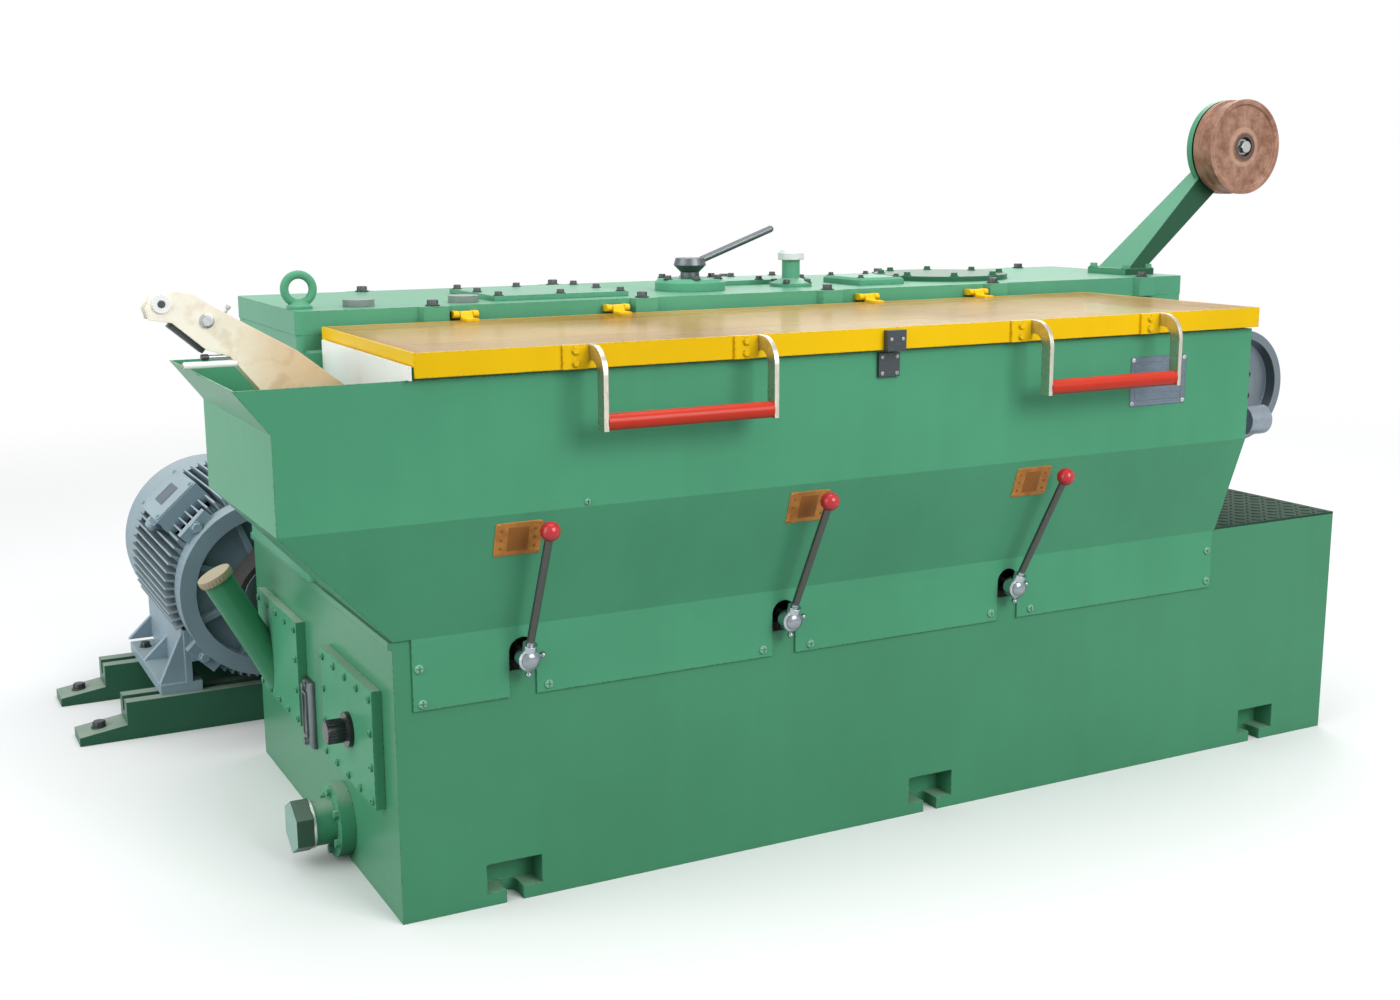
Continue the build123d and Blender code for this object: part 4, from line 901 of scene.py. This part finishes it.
gauge_glass = plate(width=23, height=97, thickness=2.4, corner=3)
piece("gauge_glass", scatter(gauge_glass, [GAUGE], LEFT), black_moulded)
filler_run = np.array((-sin(FILLER_TILT), 0, cos(FILLER_TILT)))
filler_top = np.array(FILLER_FOOT) + FILLER_LENGTH * filler_run
filler_grip = fluted(diameter=89, length=12, lobes=28, depth=2.4)
filler_seat = filler_top + FILLER_GRIP_LIFT * filler_run
piece("filler_grip", scatter(filler_grip, [filler_seat], filler_run), beige_moulded)

# Top of the gearbox: bolts of its cover, of the fittings on it, and of the arm's foot
LUG_XS = (300, 832, 1363, 1895, 2427)
LUG_YS = (568, 1128)
SHIFT_BOSS = (1058, 750, COVER_TOP + 30)
SHIFT_BOLT_RADIUS = 76
PLATE_COVER_TOP = COVER_TOP + 12
WIDE_COVER_XS = (490, 650, 810)
WIDE_COVER_YS = (645, 790, 935)
NARROW_COVER_XS = (1196, 1330, 1464)
NARROW_COVER_YS = (866, 1024)
BOX_COVER_TOP = COVER_TOP + 20
BOX_COVER_XS = (1536, 1650)
BOX_COVER_YS = (675, 825)
BREATHER_FLANGE = (1362, 750, COVER_TOP + 9)
BREATHER_BOLT_RADIUS = 46
ROUND_COVER = (1916, 840, COVER_TOP + 14)
ROUND_COVER_BOLT_RADIUS = 172
ARM_FOOT_TOP = COVER_TOP + 18
ARM_FOOT_XS = (2453, 2538)
ARM_FOOT_YS = (663, 802)

gearbox_bolts = joined(
    scatter(CASE_BOLT, on_top(LUG_XS, LUG_YS, COVER_TOP), UP),
    scatter(COVER_BOLT, round_places(SHIFT_BOSS, SHIFT_BOLT_RADIUS, 6, UP, start=15), UP),
    scatter(COVER_BOLT, on_top(WIDE_COVER_XS, WIDE_COVER_YS, PLATE_COVER_TOP), UP),
    scatter(COVER_BOLT, on_top(NARROW_COVER_XS, NARROW_COVER_YS, PLATE_COVER_TOP), UP),
    scatter(SMALL_BOLT, on_top(BOX_COVER_XS, BOX_COVER_YS, BOX_COVER_TOP), UP),
    scatter(COVER_BOLT, round_places(BREATHER_FLANGE, BREATHER_BOLT_RADIUS, 4, UP, start=45), UP))
piece("gearbox_bolts", gearbox_bolts, dark_bolts)
round_cover_spots = round_places(ROUND_COVER, ROUND_COVER_BOLT_RADIUS, 8, UP, start=22)
piece("round_cover_bolts", scatter(COVER_BOLT, round_cover_spots, UP), dark_enamel)
arm_bolts = scatter(hex_bolt(19, 9, 3), on_top(ARM_FOOT_XS, ARM_FOOT_YS, ARM_FOOT_TOP), UP)
piece("arm_bolts", arm_bolts, gear_enamel)

# Guide pulley and exit capstan
CAPSTAN_SCREW_RADIUS = 42

piece("pulley_bolt", scatter(hex_bolt(33, 15, 4), [PULLEY], FRONT), bright_bolts)
capstan_bolt = scatter(hex_bolt(36, 14, 5), [EXIT_CAPSTAN], FRONT)
capstan_spots = round_places(EXIT_CAPSTAN, CAPSTAN_SCREW_RADIUS, 4, FRONT, start=45)
capstan_bolts = joined(capstan_bolt, scatter(cap_screw(18, 7), capstan_spots, FRONT))
piece("exit_capstan_bolts", capstan_bolts, dark_bolts, "capstan")

# Wire guide: nuts on its front cheek, and the screw, pin, tube and bar at the cheek's edges
CHEEK_FACE = 190
CHEEK_MIDDLE = 195
BETWEEN_CHEEKS = 220
GUIDE_NOSE = (-364, CHEEK_FACE, 1267)
GUIDE_NUTS = [(x, CHEEK_FACE, z) for x, z in ((-281, 1232), (-60, 1050), (-60, 1010))]
EDGE_SCREW_SEAT = (-245, CHEEK_MIDDLE, 1245)
EDGE_SCREW_RUN = (0.505, 0, 0.863)
PIN_LENGTH = 44
PIN_SEAT = (-238, CHEEK_MIDDLE, 1161)
PIN_END = (PIN_SEAT[0] - PIN_LENGTH, CHEEK_MIDDLE, PIN_SEAT[2])
TUBE_LENGTH = 102
TUBE_SEAT = (-228, CHEEK_MIDDLE, 1147)
TUBE_END = (TUBE_SEAT[0] - TUBE_LENGTH, CHEEK_MIDDLE, TUBE_SEAT[2])
BAR_SINK = 4
BAR_SPOT = np.array((-314.6, BETWEEN_CHEEKS, 1202.1))
BAR_RUN = np.array((-0.66, 0, -0.75))

edge_screw = lathe([(3, 0), (3, 9), (5.2, 9, 1), (5.2, 15, 1), (4.2, 16.5)], 24, 6)
guide_nuts = joined(
    scatter(hex_bolt(20, 8, 2), GUIDE_NUTS, FRONT),
    scatter(edge_screw, [EDGE_SCREW_SEAT], EDGE_SCREW_RUN),
    scatter(rod(9, PIN_LENGTH), [PIN_SEAT], LEFT))
piece("guide_nuts", guide_nuts, bright_bolts)
guide_washer = joined(
    scatter(band(inner=7, outer=18, low=0, high=4), [GUIDE_NOSE], FRONT),
    scatter(rod(14, TUBE_LENGTH, chamfer=2), [TUBE_SEAT], LEFT))
piece("guide_washer", guide_washer, white_enamel)
guide_bar = plate(width=39, height=80, thickness=14, corner=2)
guide_pin = joined(
    scatter(guide_bar, [BAR_SPOT - BAR_SINK * BAR_RUN], BAR_RUN),
    scatter(rod(14, 6), [GUIDE_NOSE], FRONT),
    scatter(rod(13, 14), [PIN_END], LEFT))
piece("guide_pin", guide_pin, dark_bolts)
piece("guide_eyelet", scatter(rod(10, 2), [TUBE_END], LEFT), beige_moulded)

# Lever hubs: a turned nose and two studs with balls
STUD_RUNS = ((1, 0, 0.12), (0.04, 0, -1))

hub_nose = lathe([(19, 0), (19, 2), (15, 6), (8, 8.5)], 36)
stud = joined(rod(8, 32), ball(14, 34))
for number in (1, 2, 3):
    lever_x = LEVER_FIRST + LEVER_PITCH * (number - 1)
    nose = scatter(hub_nose, [(lever_x, LEVER_FACE, LEVER_Z)], FRONT)
    studs = [scatter(stud, [(lever_x, LEVER_MIDDLE, LEVER_Z)], run) for run in STUD_RUNS]
    lever = "lever_%d" % number
    piece("lever_studs_%d" % number, joined(nose, *studs), stud_chrome, lever)

# Tread plate: rows of lozenges that lean left and right by turns
TREAD_TOP = 606
TREAD_PITCH = 30.0
TREAD_XS = np.arange(2208, 2612, TREAD_PITCH)
TREAD_YS = np.arange(16, 546, TREAD_PITCH)


def every_other(first):
    """Places of the tread pattern whose row and column numbers add up to even, or to odd."""
    return [(x, y, TREAD_TOP) for i, x in enumerate(TREAD_XS) for j, y in enumerate(TREAD_YS)
            if (i + j) % 2 == first]


tread = lozenge(27, 8, 2.0)
lozenges = [scatter(spun(tread, 45 + 90 * first), every_other(first), UP) for first in (0, 1)]
piece("tread_lozenges", joined(*lozenges), tread_enamel)

# Motor: bolts of its end shield, feet and rails
SHIELD_FACE = 1443
SHIELD_BOLT_RADIUS = 258
HUB_FACE = 1406
HUB_BOLT_RADIUS = 60
FOOT_TOP = 133
FOOT_XS = (MOTOR_X - 268, MOTOR_X + 268)
FOOT_YS = (1530, 1900)
RAIL_TOE_TOP = 31
RAIL_XS = (MOTOR_X - 462, MOTOR_X + 462)
RAIL_YS = (1510, 1900)

shield_spots = round_places((MOTOR_X, SHIELD_FACE, MOTOR_Z), SHIELD_BOLT_RADIUS, 4, FRONT, start=45)
piece("motor_shield_bolts", scatter(CASE_BOLT, shield_spots, FRONT), motor_paint)
hub_spots = round_places((MOTOR_X, HUB_FACE, MOTOR_Z), HUB_BOLT_RADIUS, 4, FRONT, start=45)
motor_bolts = joined(
    scatter(hex_bolt(15, 7, 2), hub_spots, FRONT),
    scatter(hex_bolt(24, 12, 3), on_top(FOOT_XS, FOOT_YS, FOOT_TOP), UP),
    scatter(hex_bolt(30, 14, 4), on_top(RAIL_XS, RAIL_YS, RAIL_TOE_TOP), UP))
piece("motor_bolts", motor_bolts, dark_bolts)

# Terminal box, which leans out from the motor's axis: cover, bare plate and cable gland
BOX_LEAN = radians(132)
BOX_REACH = 305.8
BOX_Y = 1724.75
BOX_LID = 5
BOX_SCREW_Y = 112
BOX_SCREW_RISE = 62
GLAND_DEPTH = 30
GLAND_DROP = 75

box_out = np.array((cos(BOX_LEAN), 0, sin(BOX_LEAN)))
box_up = np.array((sin(BOX_LEAN), 0, -cos(BOX_LEAN)))
box_face = np.array((MOTOR_X, BOX_Y, MOTOR_Z)) + BOX_REACH * box_out
lid_face = box_face + BOX_LID * box_out
box_corners = [box_face + (0, u, 0) + v * box_up + BOX_LID * box_out
               for u in (-BOX_SCREW_Y, BOX_SCREW_Y) for v in (-BOX_SCREW_RISE, BOX_SCREW_RISE)]
terminal_cover = joined(
    scatter(plate(246, 146, BOX_LID, corner=12, bevel=1.5), [box_face], box_out),
    scatter(cap_screw(12, 5), box_corners, box_out))
piece("terminal_cover", terminal_cover, motor_paint)
motor_plate = joined(plate(width=100, height=66, thickness=1.2, corner=4),
                     frame_line(width=84, height=50, line=1.2, thickness=1.6, corner=2))
piece("motor_plate", scatter(motor_plate, [lid_face], box_out), silver_plate)
gland = lathe([(24, 0, 1), (24, 14, 1), (19, 15), (19, 24), (15, 30), (9, 31)], 24, 6)
gland_seat = box_face - GLAND_DEPTH * box_out - GLAND_DROP * box_up
piece("terminal_gland", scatter(gland, [gland_seat], -box_up), motor_paint)

# Motor's lifting eye, and the grille on its fan cowl over a black disc painted as the shade inside the cowl
EYE_Y = 1640
EYE_SEAT_Z = 655
EYE_RING_Z = 696
COWL_BACK = (MOTOR_X, 2260, MOTOR_Z)
GRILLE_RADII = range(35, 206, 17)
GRILLE_BAR_TURNS = (0, 45, 90, 135)

motor_eye = joined(
    scatter(lathe([(20, 0), (20, 8), (14, 14)], 32), [(MOTOR_X, EYE_Y, EYE_SEAT_Z)], UP),
    scatter(hoop(radius=24, wire=7), [(MOTOR_X, EYE_Y, EYE_RING_Z)], FRONT))
piece("motor_eye", motor_eye, motor_paint)
cowl_shade_disc = lathe([(208, 0), (208, 0.8)], 64)
piece("cowl_shade_disc", scatter(cowl_shade_disc, [COWL_BACK], BACK), black_moulded)
wires = [hoop(radius, wire=3, height=2.4) for radius in GRILLE_RADII]
grille_bar = plate(width=408, height=8, thickness=4, corner=2)
bars = [spun(grille_bar, turn) for turn in GRILLE_BAR_TURNS]
piece("cowl_grille", scatter(joined(*wires, *bars), [COWL_BACK], BACK), motor_paint)

# Clamping bushes in the faces of the two sheaves
DRIVEN_X = 760
DRIVEN_Z = 850
BUSH_SCREW_RADIUS = 49

motor_sheave_front = (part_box("motor_sheave")[0].y - BED_FRONT) / MM
driven_sheave_back = (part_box("driven_sheave")[1].y - BED_FRONT) / MM
BUSHES = (((MOTOR_X, motor_sheave_front, MOTOR_Z), FRONT),
          ((DRIVEN_X, driven_sheave_back, DRIVEN_Z), BACK))
bush = lathe([(62, 0), (62, 3), (60, 4), (38, 4), (36, 6), (20, 6.5)], 48)
bushes = []
for seat, way in BUSHES:
    bushes.append(scatter(bush, [seat], way))
    bushes.append(scatter(cap_screw(16, 8), round_places(seat, BUSH_SCREW_RADIUS, 3, way), way))
piece("sheave_bushes", joined(*bushes), dark_bolts)


# Stage, in metres and watts: pale floor that fades to white away from the machine, lamps and the camera

WHITE = (1, 1, 1, 1)
FLOOR_REACH = 30.0
FLOOR_PALE = (0.86, 0.86, 0.85, 1)
FLOOR_DULL = (0.15, 0.15, 0.15, 1)
FADE_START = 3.0
FADE_END = 7.5
SKY = (0.94, 0.97, 1.0, 1)
SKY_STRENGTH = 0.7

# Each lamp's name, place, what it points at, size and power
LAMPS = (
    ("key", (1.6, -6.4, 4.1), (0, -0.4, 0.8), 3.8, 318),
    ("left", (-5.6, -0.4, 2.4), (-1.3, 0, 0.5), 4.4, 155),
    ("top", (-0.4, 0.2, 5.4), (-0.2, 0.1, 0), 4.0, 95),
    ("back", (4.0, 4.4, 4.6), (0.3, 0.4, 0.7), 4.0, 120),
)


def seen_ray(place):
    """1 for rays that show what they meet: from the camera, in a reflection or through a clear sheet."""
    camera, glossy, through = [place.node("LightPath", out="Is %s Ray" % kind)
                               for kind in ("Camera", "Glossy", "Transmission")]
    return place.math("MAXIMUM", place.math("MAXIMUM", camera, glossy), through)


def floor_finish(name):
    """Pale floor that keeps the shadow near the machine and is plain white far from it. It throws back less
    light than it shows."""
    material, place = fresh(name)
    far = ramp(radius_from(place, (0, 0, 0), (1, 1, 0)), FADE_START, FADE_END)
    dull = place.node("BsdfDiffuse", {}, {"Color": FLOOR_DULL})
    pale = place.node("BsdfDiffuse", {}, {"Color": FLOOR_PALE})
    white = place.node("Emission", {}, {"Color": WHITE, "Strength": 1.0})
    shown = seen_ray(place)
    both = place.node("MixShader", {}, {0: shown, 1: dull, 2: pale})
    both = place.node("MixShader", {}, {0: far * shown, 1: both, 2: white})
    place.node("OutputMaterial", {}, {"Surface": both})
    return material


def lay_floor():
    """Square floor at the machine's foot."""
    corners = [(-FLOOR_REACH, -FLOOR_REACH, 0), (FLOOR_REACH, -FLOOR_REACH, 0),
               (FLOOR_REACH, FLOOR_REACH, 0), (-FLOOR_REACH, FLOOR_REACH, 0)]
    mesh = bpy.data.meshes.new("floor")
    mesh.from_pydata(corners, [], [(0, 1, 2, 3)])
    mesh.materials.append(floor_finish("floor_finish"))
    floor = bpy.data.objects.new("floor", mesh)
    bpy.context.scene.collection.objects.link(floor)


def light_world():
    """World that gives a soft even light and is seen as plain white."""
    world = bpy.data.worlds.new("studio")
    world.use_nodes = True
    world.node_tree.nodes.clear()
    start = Tone(world.node_tree)
    glow = start.node("Background", {}, {"Color": SKY, "Strength": SKY_STRENGTH})
    white = start.node("Background", {}, {"Color": WHITE, "Strength": 1.0})
    both = start.node("MixShader", {}, {0: seen_ray(start), 1: glow, 2: white})
    start.node("OutputWorld", {}, {"Surface": both})
    bpy.context.scene.world = world


def hang_lamps():
    """Large soft area lamps."""
    for name, place, aim, size, power in LAMPS:
        lamp = bpy.data.lights.new(name, "AREA")
        lamp.size = size
        lamp.energy = power
        holder = bpy.data.objects.new(name, lamp)
        holder.location = place
        holder.rotation_euler = (Vector(aim) - Vector(place)).to_track_quat("-Z", "Y").to_euler()
        bpy.context.scene.collection.objects.link(holder)


def place_camera():
    """Camera at the photograph's place: turned, tilted, then rolled about its own line of sight."""
    level = Vector((cos(CAMERA_TURN), -sin(CAMERA_TURN), 0))
    ahead = Vector((sin(CAMERA_TURN) * cos(CAMERA_TILT), cos(CAMERA_TURN) * cos(CAMERA_TILT),
                    -sin(CAMERA_TILT)))
    above = level.cross(ahead)
    right = level * cos(CAMERA_ROLL) + above * sin(CAMERA_ROLL)
    up = above * cos(CAMERA_ROLL) - level * sin(CAMERA_ROLL)
    data = bpy.data.cameras.new("camera")
    data.sensor_fit = "HORIZONTAL"
    data.sensor_width = FRAME_WIDTH
    data.lens = CAMERA_LENS
    camera = bpy.data.objects.new("camera", data)
    turn = Matrix((right, up, -ahead)).transposed().to_4x4()
    camera.matrix_world = Matrix.Translation(CAMERA_PLACE) @ turn
    bpy.context.scene.collection.objects.link(camera)
    bpy.context.scene.camera = camera


lay_floor()
light_world()
hang_lamps()
place_camera()
bpy.context.scene.view_settings.view_transform = "Standard"
